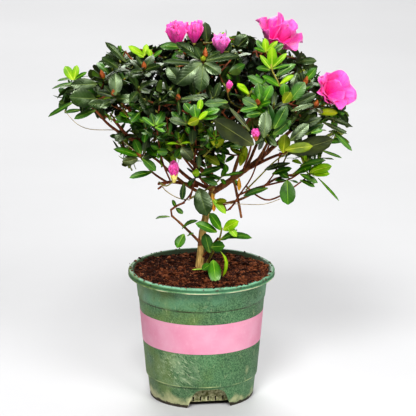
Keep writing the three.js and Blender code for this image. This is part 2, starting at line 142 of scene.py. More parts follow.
@dataclass(frozen=True)
class Sight:
    """The photograph's view of the plant, which turns places seen in it into places on the plant."""

    pixels: int = 416
    tilt: float = math.radians(15.45)
    distance: float = 3000.0
    frame_width: float = 465.0
    target: Point = (7.3, 0.0, 216.9)

    @property
    def back(self) -> Array:
        """The way from the target to the eye."""
        return np.array([0.0, -math.cos(self.tilt), math.sin(self.tilt)])

    @property
    def over(self) -> Array:
        """The way that points up in the picture."""
        return np.array([0.0, math.sin(self.tilt), math.cos(self.tilt)])

    @property
    def eye(self) -> Array:
        """Where the view is taken from."""
        return np.array(self.target) + self.back * self.distance

    def place(self, seen: Seen, deep: float) -> Array:
        """The place on the plant that is seen at a spot of the picture.

        Args:
            seen: Pixels across from the left and down from the top.
            deep: How far the place lies behind the pot's axis.

        Returns:
            The place.
        """
        scale = self.frame_width / self.pixels
        across = (seen[0] - self.pixels / 2) * scale
        high = (self.pixels / 2 - seen[1]) * scale
        spot = np.array(self.target) + np.array([across, 0.0, 0.0]) + self.over * high
        ray = spot - self.eye
        return self.eye + ray * ((deep - self.eye[1]) / ray[1])

    def seen(self, point: Array) -> Array:
        """The spot of the picture where a place is seen.

        Args:
            point: The place.

        Returns:
            Pixels across and down.
        """
        offset = point - self.eye
        scale = self.pixels / self.frame_width * self.distance / -float(offset @ self.back)
        half = self.pixels / 2
        return np.array([half + offset[0] * scale, half - float(offset @ self.over) * scale])


SIGHT = Sight()


class Outline:
    """The edge of the leaves against the sky, as seen in the photograph."""

    ROOF = (
        (50, 104), (58, 84), (72, 78), (88, 74), (100, 58), (112, 50), (140, 50), (162, 45), (185, 40),
        (200, 30), (212, 28), (235, 32), (252, 38), (278, 44), (300, 54), (318, 64), (336, 88), (352, 112),
        (356, 130),
    )
    FOOT = (
        (50, 116), (66, 112), (92, 114), (106, 128), (114, 140), (122, 166), (146, 174), (160, 184),
        (186, 190), (216, 188), (226, 176), (250, 166), (276, 160), (296, 164), (318, 170), (338, 156),
        (352, 146), (356, 140),
    )

    @classmethod
    def keeps(cls, point: Array, slack: float) -> bool:
        """Whether a place is seen inside the edge.

        Args:
            point: The place.
            slack: How far outside the edge it may be seen, in pixels.

        Returns:
            True where it is.
        """
        across, down = SIGHT.seen(point)
        if not cls.ROOF[0][0] - slack < across < cls.ROOF[-1][0] + slack:
            return False
        roof, foot = (np.interp(across, *np.array(edge, float).T) for edge in (cls.ROOF, cls.FOOT))
        return roof - slack < down < foot + slack


# Node trees of the finishes


class NodeBoard:
    """A material's node tree, with short calls for the nodes that the finishes share."""

    def __init__(self, name: str) -> None:
        """Starts a material with its plain shader.

        Args:
            name: The material's name.
        """
        self.material = bpy.data.materials.new(name)
        self.material.use_nodes = True
        self.tree = self.material.node_tree
        self.shader = self.tree.nodes["Principled BSDF"]
        self.body: Optional[NodeSocket] = None

    def put(self, target: NodeSocket, value: object) -> None:
        """Links a socket to an input, or sets a plain value there.

        Args:
            target: The input.
            value: The socket or the plain value.
        """
        if isinstance(value, NodeSocket):
            self.tree.links.new(value, target)
        else:
            target.default_value = value

    def set(self, socket: str, value: object) -> None:
        """Gives one of the shader's sockets a plain value, or one that varies over the surface."""
        self.put(self.shader.inputs[socket], value)

    def node(self, kind: str, inputs: dict[str | int, object], **options: str) -> Node:
        """Adds a node.

        Args:
            kind: What it does, in the program's own word.
            inputs: Values or sockets for its inputs, by name or number.
            options: What else is chosen on it.

        Returns:
            The node.
        """
        node = self.tree.nodes.new(f"ShaderNode{kind}")
        for name, value in options.items():
            setattr(node, name, value)
        for name, value in inputs.items():
            self.put(node.inputs[name], value)
        return node

    def place(self, output: str = "Object", length: Point = (1, 1, 1), turn: float = 0.0) -> NodeSocket:
        """Coordinates on the piece.

        Args:
            output: Which coordinates: Object or UV.
            length: How much longer a pattern gets along each axis.
            turn: How far those axes are turned about Y, in degrees.

        Returns:
            The coordinates' socket.
        """
        source = self.node("TexCoord", {}).outputs[output]
        if length == (1, 1, 1):
            return source
        inputs = {"Vector": source, "Scale": length, "Rotation": (0, math.radians(turn), 0)}
        return self.node("Mapping", inputs, vector_type="TEXTURE").outputs["Vector"]

    def noise(self, scale: float, detail: float = 4, length: Point = (1, 1, 1), output: str = "Object",
              turn: float = 0.0) -> NodeSocket:
        """A cloudy pattern, by its clouds in a metre, its finer layers and its coordinates."""
        place = self.place(output, length, turn)
        return self.node("TexNoise", {"Vector": place, "Scale": scale, "Detail": detail}).outputs["Fac"]

    def axis(self, name: str, output: str = "Object") -> NodeSocket:
        """One coordinate of the piece: X, Y or Z."""
        return self.node("SeparateXYZ", {"Vector": self.place(output)}).outputs[name]

    def ramp(self, value: NodeSocket, *stops: tuple[float, Shade]) -> NodeSocket:
        """Screen colours dealt along a value.

        Args:
            value: The value from 0 to 1.
            stops: Places along it, in order, each with its colour.

        Returns:
            The colour's socket.
        """
        node = self.node("ValToRGB", {"Fac": value})
        elements = node.color_ramp.elements
        while len(elements) < len(stops):
            elements.new(0.5)
        for element, (place, colour) in zip(elements, stops):
            element.position = place
            element.color = linear(colour)
        return node.outputs["Color"]

    def span(self, value: object, low: float, high: float, first: float = 0.0,
             last: float = 1.0) -> NodeSocket:
        """A number that runs smoothly from a first one at a low value to a last one at a high value."""
        inputs = {"Value": value, "From Min": low, "From Max": high, "To Min": first, "To Max": last}
        return self.node("MapRange", inputs, interpolation_type="SMOOTHSTEP").outputs["Result"]

    def rise(self, value: NodeSocket, low: float, high: float) -> NodeSocket:
        """A share that runs smoothly from 0 to 1 between two lengths in millimetres."""
        return self.span(value, low * MM, high * MM)

    def sum(self, operation: str, first: object, second: object = 0.0) -> NodeSocket:
        """The result of one sum on two values, such as ADD or MAXIMUM."""
        return self.node("Math", {0: first, 1: second}, operation=operation).outputs["Value"]

    def times(self, first: object, second: object) -> NodeSocket:
        """One value multiplied by another."""
        return self.sum("MULTIPLY", first, second)

    def blend(self, share: object, first: object, second: object) -> NodeSocket:
        """One colour with a share of a second one laid over it."""
        return self.node("Mix", {0: share, 6: first, 7: second}, data_type="RGBA").outputs[2]

    def lay(self, share: object, strength: float, colour: Shade) -> None:
        """Lays a screen colour over the body colour at a strength, where a share is high."""
        self.body = self.blend(self.times(share, strength), self.body, linear(colour))

    def far_from(self, point: Point) -> NodeSocket:
        """The distance in metres from a point of the piece, given in millimetres."""
        middle = [value * MM for value in point]
        return self.node("VectorMath", {0: self.place(), 1: middle}, operation="DISTANCE").outputs["Value"]

    def from_axis(self) -> NodeSocket:
        """The distance in metres from the Z axis."""
        flat = self.node("VectorMath", {0: self.place(), 1: (1, 1, 0)}, operation="MULTIPLY")
        return self.node("VectorMath", {0: flat.outputs["Vector"]}, operation="LENGTH").outputs["Value"]

    def relief(self, height: NodeSocket, depth: float, strength: float) -> None:
        """Fine relief by a pattern, to a depth in millimetres, shown at a strength."""
        bump = self.node("Bump", {"Height": height, "Distance": depth * MM, "Strength": strength})
        self.set("Normal", bump.outputs["Normal"])

    def done(self, roughness: object, specular: float) -> Material:
        """Gives the shader its body colour, roughness and specular level.

        Args:
            roughness: A plain value or a pattern.
            specular: How strongly the surface mirrors.

        Returns:
            The finished material.
        """
        self.set("Base Color", self.body)
        self.set("Roughness", roughness)
        self.set("Specular IOR Level", specular)
        return self.material


# Finishes


@dataclass(frozen=True)
class PotFinish:
    """Weathered green plastic: scuffs on the belly, dried mud at the foot, a dark brown line at the collar
    step, with painted sheen, highlights and shade on the collar, ridge, lip and inner wall, and an olive tint
    on the left lightened as painted light.
    """

    top: float
    lip: float
    rim: float
    mouth: float
    collar: float
    ridge: float
    foot: float = 24.0
    scuffs_at: Point = (-28.0, -58.0, 46.0)
    scuffs_reach: float = 38.0
    scuffs_turn: float = 38.0

    def material(self) -> Material:
        """The finish as a material."""
        board = NodeBoard("weathered_green_plastic")
        shades = ((0.3, (36, 80, 48)), (0.52, (55, 107, 66)), (0.72, (84, 134, 90)))
        speckle = board.ramp(board.noise(640, 3), (0.36, (24, 58, 34)), (0.62, (150, 182, 134)))
        board.body = board.blend(0.34, board.ramp(board.noise(24, 6), *shades), speckle)
        # Lighter mint green in cloudy patches from the collar up: painted sheen.
        collar = board.rise(board.axis("Z"), self.collar, self.collar + 3)
        board.lay(board.times(collar, board.span(board.noise(30), 0.35, 0.62)), 0.6, (112, 168, 130))
        # An olive tint that grows towards the left side, made light enough to stand in for light on that
        # side: a real tint and painted light.
        olive_tint_and_painted_light = board.sum("ADD", board.noise(38, 6), board.times(board.axis("X"), -3.6))
        board.lay(board.span(olive_tint_and_painted_light, 0.48, 0.84), 0.52, (120, 140, 66))
        self._scuff(board)
        self._lay_mud_and_painted_light(board)
        self._tint_lip(board)
        board.relief(board.noise(160, 5), 0.25, 0.5)
        return board.done(board.span(board.noise(55, 5), -0.5, 1.3), 0.5)

    def _scuff(self, board: NodeBoard) -> None:
        """Lays on fine pale scratches, most of them on one worn patch of the belly.

        Args:
            board: The material's node tree.
        """
        worn = board.rise(board.far_from(self.scuffs_at), self.scuffs_reach, 8)
        cloud = board.span(board.noise(95, 8), 0.44, 0.74)
        board.lay(board.times(worn, cloud), 0.42, (176, 196, 160))
        for grain, length, turn in ((620, 12.0, 0.0), (800, 14.0, 9.0), (500, 9.0, -8.0)):
            scratch = board.noise(grain, 2, (length, 1, 1), turn=self.scuffs_turn + turn)
            board.lay(board.times(worn, board.span(scratch, 0.58, 0.7)), 0.5, (200, 210, 174))
        board.lay(board.span(board.noise(300, 6, (1, 1, 2.4)), 0.63, 0.72), 0.4, (190, 196, 150))

    def _lay_mud_and_painted_light(self, board: NodeBoard) -> None:
        """Lays on dried mud near the ground, dark brown blotches that thicken towards it, a patchy dark brown
        line at the collar step, a painted highlight on the ridge, painted shadow under the lip, and a worn
        cream line on the lip's lower edge.

        Args:
            board: The material's node tree.
        """
        height = board.axis("Z")
        low = board.times(board.rise(height, self.foot, 2), board.span(board.axis("X"), 0.0, 0.05, 1.0, 0.62))
        mud = board.sum("ADD", board.noise(70, 8), board.times(low, 0.46))
        board.lay(board.span(mud, 0.62, 0.98), 0.88, (208, 206, 158))
        # In order: a patchy dark brown line at the collar step, a pale line on the ridge that is painted
        # highlight, dark brown under the lip that is painted shadow, and a worn cream line on the lip's lower
        # edge.
        stripes = (((self.collar - 1.9, self.collar + 0.4), 45, 0.9, (54, 42, 24)),
                   ((self.ridge - 0.4, self.ridge + 1.4), 50, 0.85, (184, 196, 138)),
                   ((self.lip - 3.4, self.lip - 0.3), 70, 0.8, (72, 60, 38)),
                   ((self.lip - 0.4, self.lip + 1.5), 60, 0.9, (222, 218, 178)))
        for ends, grain, strength, colour in stripes:
            patchy = board.span(board.noise(grain, 5), 0.38, 0.6)
            board.lay(board.times(self._stripe(board, *ends), patchy), strength, colour)
        # Dark brown blotches, denser in the last few millimetres above the ground.
        toward_ground = board.times(board.rise(height, 6.4, 0.4), 0.6)
        board.lay(board.span(board.sum("ADD", board.noise(170, 6), toward_ground), 0.66, 0.82), 0.95, (46, 34, 20))

    def _tint_lip(self, board: NodeBoard) -> None:
        """Tints the lip: painted shade on its outer face, a darker green flat top, a painted highlight on the
        outer crest at the front, brown specks, and dirt with painted shade on the wall inside.

        Args:
            board: The material's node tree.
        """
        # A deeper green on the lip's outer face: painted shade.
        board.lay(self._stripe(board, self.lip + 1.6, self.top - 1.4), 0.7, (30, 92, 60))
        front = board.span(board.axis("Y"), -0.01, -0.06)
        height, away = board.axis("Z"), board.from_axis()
        over = board.rise(height, self.top - 1.6, self.top - 0.7)
        ledge = board.times(over, board.rise(away, self.rim - 1.6, self.rim - 2.8))
        board.lay(ledge, 0.75, (42, 90, 58))
        # A pale mint line on the lip's outer crest, at the front only: painted highlight.
        painted_crest_highlight = board.times(board.sum("SUBTRACT", over, ledge), board.span(board.noise(90, 5), 0.25, 0.6))
        board.lay(board.times(painted_crest_highlight, front), 0.75, (140, 204, 172))
        specks = board.span(board.noise(210, 6), 0.58, 0.66)
        board.lay(board.times(board.rise(height, self.lip + 1, self.lip + 4), specks), 0.85, (64, 46, 28))
        # Dark olive on the wall inside the lip: dirt together with painted shade.
        inside = board.times(board.rise(away, self.mouth + 1.4, self.mouth + 0.2),
                             board.rise(height, self.lip + 0.6, self.lip + 1.4))
        board.lay(inside, 0.95, (32, 48, 16))

    @staticmethod
    def _stripe(board: NodeBoard, low: float, high: float) -> NodeSocket:
        """A level stripe between two heights, soft at its edges."""
        height, soft = board.axis("Z"), (high - low) * 0.35
        return board.times(board.rise(height, low, low + soft), board.rise(height, high, high - soft))


@dataclass(frozen=True)
class PlainFinish:
    """A finish of two mottled colours, with some roughness and relief."""

    name: str
    dark: Shade
    light: Shade
    grain: float = 120.0
    roughness: float = 0.8
    relief: float = 0.2
    specular: float = 0.3

    def material(self) -> Material:
        """The finish as a material."""
        board = NodeBoard(self.name)
        pattern = board.noise(self.grain, 5)
        board.body = board.ramp(pattern, (0.34, self.dark), (0.66, self.light))
        board.relief(pattern, self.relief, 0.7)
        return board.done(self.roughness, self.specular)


@dataclass(frozen=True)
class BandFinish:
    """The printed pink band with pale painted highlight blotches, worn through to the green in a few small
    chips.
    """

    foot: float
    top: float

    def material(self) -> Material:
        """The finish as a material."""
        board = NodeBoard("printed_pink_band")
        board.body = board.ramp(board.noise(35), (0.3, (228, 148, 174)), (0.7, (232, 168, 190)))
        # Paler pink blotches: painted highlight.
        board.lay(board.span(board.noise(300, 3), 0.5, 0.75), 0.25, (236, 184, 202))
        height = board.axis("Z")
        lower = board.rise(height, self.foot + 1.6, self.foot)
        upper = board.rise(height, self.top - 1.2, self.top)
        edge = board.times(board.sum("MAXIMUM", lower, upper), 0.08)
        board.lay(board.span(board.sum("ADD", board.noise(210), edge), 0.74, 0.8), 1.0, (86, 122, 88))
        board.relief(board.noise(240), 0.15, 0.4)
        return board.done(board.span(board.noise(80), -0.7, 1.2), 0.4)


@dataclass(frozen=True)
class BarkFinish:
    """Tan, fibrous bark on the trunk that turns red-brown on the slender boughs."""

    old: tuple[Shade, Shade] = ((132, 106, 50), (226, 192, 120))
    young: tuple[Shade, Shade] = ((88, 46, 28), (160, 94, 58))

    def material(self) -> Material:
        """The finish as a material. It reads how old the wood is from the piece's attribute."""
        board = NodeBoard("azalea_bark")
        fibre = board.noise(520, 5, (1, 1, 6))
        old = board.ramp(fibre, *zip((0.32, 0.62), self.old))
        young = board.ramp(board.noise(420, 5), *zip((0.32, 0.68), self.young))
        age = board.node("Attribute", {}, attribute_name=Wood.AGE).outputs["Fac"]
        board.body = board.blend(age, young, old)
        board.lay(board.span(board.noise(90, 5), 0.62, 0.72), 0.4, (150, 142, 112))
        board.relief(fibre, 0.35, 0.9)
        return board.done(0.82, 0.25)


@dataclass(frozen=True)
class LeafFinish:
    """A leaf's upper side: painted shade darkening it towards the margins, with a cloudy play, fine veins and
    a sheen.
    """

    name: str
    shade: Shade
    light: Shade
    rib: Shade
    gloss: float
    roughness: float
    veins: float = 8.0
    sheen: tuple[float, ...] = (0.82, 1.0, 0.64, 1.0)

    def material(self) -> Material:
        """The finish as a material. The veins run out and forward from the midrib."""
        board = NodeBoard(self.name)
        board.body = board.ramp(board.noise(44), (0.36, self.shade), (0.64, self.light))
        across = board.sum("ABSOLUTE", board.sum("SUBTRACT", board.axis("X", "UV"), 0.5))
        # Darker towards the margins: painted shade that rounds the blade.
        board.lay(board.span(across, 0.2, 0.5), 0.75, self.shade)
        length = board.axis("Y", "UV")
        board.lay(board.span(length, 0.3, 0.0), 0.45, self.rib)
        along = board.sum("SUBTRACT", length, board.times(across, 0.5))
        vein = board.span(board.sum("SINE", board.times(along, self.veins * FULL_TURN)), 0.3, 1.0)
        board.lay(vein, 0.24, self.shade)
        board.set("Specular Tint", self.sheen)
        board.relief(board.sum("SUBTRACT", board.noise(80, 2), board.times(vein, 0.11)), 0.6, 0.7)
        rough = (self.roughness - 0.07, self.roughness + 0.07)
        return board.done(board.span(board.noise(120, 3), 0.3, 0.7, *rough), self.gloss)


@dataclass(frozen=True)
class PetalFinish:
    """Thin petals, deeper at the throat and paler at the ruffled brim, with fine streaks along them."""

    name: str
    throat: Shade
    middle: Shade
    brim: Shade

    def material(self) -> Material:
        """The finish as a material."""
        board = NodeBoard(self.name)
        tints = ((0.0, self.throat), (0.5, self.middle), (1.0, self.brim))
        board.body = board.ramp(board.axis("Y", "UV"), *tints)
        streak = board.noise(9, 3, (0.2, 1.7, 1.0), "UV")
        board.lay(board.span(streak, 0.48, 0.64), 0.6, self.brim)
        board.lay(board.span(streak, 0.46, 0.32), 0.5, self.throat)
        board.set("Subsurface Weight", 0.35)
        board.set("Subsurface Radius", (0.006, 0.0016, 0.004))
        board.set("Subsurface Scale", 0.6)
        board.set("Sheen Weight", 0.15)
        board.relief(streak, 0.3, 0.5)
        return board.done(0.5, 0.5)


class Tone(Enum):
    """How old a leaf is, or for the darkest tone the painted shade deep in the crown, which gives its colours
    (shade, light, rib and underside), gloss and roughness.
    """

    # Near-black leaves for sprays inside the crown: painted shade.
    PAINTED_SHADE = ((7, 17, 5), (21, 39, 13), (46, 58, 26), (26, 38, 15), 0.3, 0.5)
    DARK = ((13, 28, 6), (44, 68, 22), (104, 122, 58), (68, 84, 36), 0.78, 0.33)
    AGED = ((22, 26, 5), (62, 70, 20), (112, 118, 60), (70, 78, 32), 0.6, 0.36)
    DEEP = ((20, 62, 7), (66, 118, 24), (132, 162, 62), (86, 112, 42), 0.65, 0.35)
    FRESH = ((28, 78, 2), (74, 134, 8), (140, 186, 52), (98, 138, 38), 0.55, 0.38)
    YOUNG = ((100, 152, 2), (166, 206, 12), (200, 220, 76), (150, 186, 44), 0.4, 0.44)
    OLIVE = ((80, 98, 2), (140, 152, 8), (168, 170, 44), (108, 118, 28), 0.28, 0.44)
    FADED = ((200, 112, 10), (244, 186, 30), (250, 210, 90), (214, 150, 40), 0.3, 0.46)

    def finishes(self) -> list[Material]:
        """The materials of a leaf of this tone: upper side, midrib and underside."""
        shade, light, rib, under, gloss, roughness = self.value
        name = self.name.lower()
        vein = tuple(int(value * 0.86) for value in rib)
        below = tuple(int(value * 0.8) for value in under)
        return [LeafFinish(f"leaf_{name}", shade, light, rib, gloss, roughness).material(),
                PlainFinish(f"leaf_rib_{name}", vein, rib, 200, 0.5, 0.05).material(),
                PlainFinish(f"leaf_underside_{name}", below, under, 160, 0.62, 0.1).material()]


# Ways of making shapes


def deselect() -> None:
    """Leaves edit mode and selects nothing, so that the next operator acts on the new piece alone."""
    if bpy.context.mode != "OBJECT":
        bpy.ops.object.mode_set(mode="OBJECT")
    bpy.ops.object.select_all(action="DESELECT")


def pick(piece: Object) -> None:
    """Selects one piece alone and makes it the active one."""
    deselect()
    piece.select_set(True)
    bpy.context.view_layer.objects.active = piece


def edit(kind: str) -> None:
    """Goes into edit mode, where corners, edges or faces are picked: VERT, EDGE or FACE."""
    bpy.ops.object.mode_set(mode="EDIT")
    bpy.ops.mesh.select_mode(type=kind)


def leave_edit() -> None:
    """Goes back from edit mode."""
    bpy.ops.object.mode_set(mode="OBJECT")


def fix_in_place() -> None:
    """Makes the active piece's place, turn and size part of its mesh."""
    bpy.ops.object.transform_apply(location=True, rotation=True, scale=True)


def apply_all(piece: Object) -> None:
    """Applies every modifier of a piece, in order."""
    pick(piece)
    for modifier in list(piece.modifiers):
        bpy.ops.object.modifier_apply(modifier=modifier.name)


def carve(piece: Object, cutter: Object) -> None:
    """Cuts one solid out of a piece, whose cut faces take the cutter's finish, and removes the cutter.

    Args:
        piece: What is cut.
        cutter: The solid to cut out.
    """
    cut = piece.modifiers.new("cut", "BOOLEAN")
    cut.operation = "DIFFERENCE"
    cut.solver = "EXACT"
    cut.material_mode = "TRANSFER"
    cut.object = cutter
    apply_all(piece)
    bpy.data.objects.remove(cutter)


def turn_profile(name: str, outline: Sequence[Pair], sides: int) -> Object:
    """A round piece about the Z axis, drawn ring by ring from a disc.

    Args:
        name: The piece's name.
        outline: Radius and height of each ring, the first and last of which are closed by a disc.
        sides: How many sides a ring has.

    Returns:
        The new piece.
    """
    deselect()
    radius, height = outline[0]
    bpy.ops.mesh.primitive_circle_add(vertices=sides, radius=radius * MM, fill_type="NGON",
                                      location=(0, 0, height * MM))
    piece = bpy.context.active_object
    piece.name = name
    fix_in_place()
    edit("FACE")
    bpy.ops.mesh.select_all(action="SELECT")
    for next_radius, next_height in outline[1:]:
        rise, wider = (next_height - height) * MM, next_radius / radius
        bpy.ops.mesh.extrude_region_move(TRANSFORM_OT_translate={"value": (0, 0, rise)})
        bpy.ops.transform.resize(value=(wider, wider, 1), center_override=(0, 0, next_height * MM))
        radius, height = next_radius, next_height
    face_outward()
    return piece


def face_outward() -> None:
    """Turns all faces of the piece in edit mode outward, and leaves edit mode."""
    bpy.ops.mesh.select_all(action="SELECT")
    bpy.ops.mesh.normals_make_consistent(inside=False)
    leave_edit()


def smooth(piece: Object, angle: float = 40.0) -> None:
    """Shades a piece smooth, with a crease where faces meet at more than an angle in degrees."""
    pick(piece)
    bpy.ops.object.shade_smooth_by_angle(angle=math.radians(angle))


def settle(piece: Object, nodes: Iterable[str] = ()) -> None:
    """Fixes a finished piece to the part's root body and hides the solids that it stands for.

    Args:
        piece: The finished piece.
        nodes: Names of the solids that it replaces.
    """
    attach(piece, "root")
    names = list(nodes)
    if names:
        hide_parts(*names)
    piece.data.calc_loop_triangles()
    LOG.info("%s: %d triangles", piece.name, len(piece.data.loop_triangles))


class MeshBuffer:
    """Vertices and faces of many small shapes, gathered into one mesh."""

    def __init__(self) -> None:
        """Starts with nothing."""
        self.points: list[Array] = []
        self.places: list[Array] = []
        self.faces: Faces = []
        self.slots: list[int] = []
        self.count = 0

    def add(self, points: Array, faces: Faces, slots: Optional[Sequence[int]] = None,
            places: Optional[Array] = None) -> None:
        """Adds one small shape.

        Args:
            points: Its vertices in millimetres.
            faces: Its faces, as numbers of its own vertices.
            slots: Which finish each face has.
            places: Where each vertex lies across and along the shape, from 0 to 1.
        """
        self.points.append(points)
        self.places.append(np.zeros((len(points), 2)) if places is None else places)
        self.faces.extend(tuple(self.count + index for index in face) for face in faces)
        self.slots.extend(slots if slots is not None else [0] * len(faces))
        self.count += len(points)

    def piece(self, name: str, finishes: Sequence[Material], crease: float = 60.0) -> Object:
        """Makes the gathered shapes one piece.

        Args:
            name: The piece's name.
            finishes: The materials that the faces' slots count.
            crease: The angle in degrees over which an edge stays sharp.

        Returns:
            The new piece.
        """
        mesh = bpy.data.meshes.new(name)
        mesh.from_pydata((np.concatenate(self.points) * MM).tolist(), [], self.faces)
        mesh.polygons.foreach_set("material_index", self.slots)
        corners = np.zeros(len(mesh.loops), dtype=np.int32)
        mesh.loops.foreach_get("vertex_index", corners)
        layer = mesh.uv_layers.new(name="UVMap")
        layer.data.foreach_set("uv", np.concatenate(self.places)[corners].astype(np.float32).ravel())
        for finish in finishes:
            mesh.materials.append(finish)
        mesh.validate()
        mesh.update()
        piece = bpy.data.objects.new(name, mesh)
        bpy.context.scene.collection.objects.link(piece)
        smooth(piece, crease)
        return piece


def ring(axis: Array, side: Array, sides: int, turn: float = 0.0) -> Array:
    """Points of a ring of radius one about an axis, from a side square to it that is turned by an angle."""
    turns = np.arange(sides) * FULL_TURN / sides + turn
    return np.cos(turns)[:, None] * side + np.sin(turns)[:, None] * np.cross(axis, side)


def weave(rings: int, sides: int) -> Faces:
    """The faces of a closed tube.

    Args:
        rings: How many rings of points it has.
        sides: How many points a ring has.

    Returns:
        The faces from ring to ring, then its foot and its tip.
    """
    faces = []
    for here in range(0, (rings - 1) * sides, sides):
        for index in range(sides):
            after = (index + 1) % sides
            faces.append((here + index, here + after, here + sides + after, here + sides + index))
    last = range((rings - 1) * sides, rings * sides)
    return faces + [tuple(reversed(range(sides))), tuple(last)]


class Spine:
    """The line that a limb or twig follows, as close-set points, found by shares of its length."""

    STEPS = 24
    NEAR = 0.02

    def __init__(self, points: Array) -> None:
        """Keeps the points and the length up to each of them."""
        self.points = points
        gaps = np.linalg.norm(np.diff(points, axis=0), axis=1)
        self.lengths = np.concatenate([[0.0], np.cumsum(gaps)])

    @classmethod
    def bent(cls, start: Array, bend: Array, end: Array) -> "Spine":
        """A curve that leaves its start and reaches its end along the lines to one bend point."""
        share = np.linspace(0, 1, cls.STEPS + 1)[:, None]
        return cls((1 - share) ** 2 * start + 2 * share * (1 - share) * bend + share ** 2 * end)

    @classmethod
    def bowed(cls, start: Array, end: Array, sag: float) -> "Spine":
        """A curve between two points, bowed down by a sag."""
        return cls.bent(start, (start + end) / 2 - UP * sag, end)

    @classmethod
    def through(cls, stations: Sequence[Array]) -> "Spine":
        """A smooth curve through several points, with knots spaced by the root of their distance.

        Args:
            stations: The points.

        Returns:
            The curve.
        """
        line = [stations[0] * 2 - stations[1], *stations, stations[-1] * 2 - stations[-2]]
        pieces = []
        for points in zip(line, line[1:], line[2:], line[3:]):
            knots = [0.0]
            for here, there in zip(points, points[1:]):
                knots.append(knots[-1] + math.sqrt(max(gap(there, here), 1e-6)))
            share = np.linspace(knots[1], knots[2], cls.STEPS, endpoint=False)[:, None]
            legs = [cls._between(points[index], points[index + 1], knots[index], knots[index + 1], share)
                    for index in range(3)]
            rise = cls._between(legs[0], legs[1], knots[0], knots[2], share)
            fall = cls._between(legs[1], legs[2], knots[1], knots[3], share)
            pieces.append(cls._between(rise, fall, knots[1], knots[2], share))
        return cls(np.concatenate([*pieces, line[-2][None, :]]))

    @staticmethod
    def _between(first: Array, second: Array, low: float, high: float, at: Array) -> Array:
        """The points between two others at places that run from one knot to another."""
        return first * (high - at) / (high - low) + second * (at - low) / (high - low)

    @property
    def length(self) -> float:
        """The whole length."""
        return float(self.lengths[-1])

    def at(self, share: float) -> Array:
        """The point at a share of the length."""
        place = share * self.length
        return np.array([np.interp(place, self.lengths, self.points[:, axis]) for axis in range(3)])

    def heading(self, share: float) -> Array:
        """The way the line runs at a share of its length."""
        return unit(self.at(min(1.0, share + self.NEAR)) - self.at(max(0.0, share - self.NEAR)))

    def tube(self, radius: Girth, sides: int, steps: int) -> tuple[Array, Faces]:
        """A closed tube along the line.

        Args:
            radius: The radius at a share of the length.
            sides: How many sides it has.
            steps: How many lengths it is made of.

        Returns:
            Its vertices and faces.
        """
        rings = []
        side = square_to(self.heading(0.0))
        for share in (step / steps for step in range(steps + 1)):
            along = self.heading(share)
            side = unit(side - along * float(side @ along))
            rings.append(self.at(share) + ring(along, side, sides) * radius(share))
        return np.concatenate(rings), weave(steps + 1, sides)


# The pot and the peat


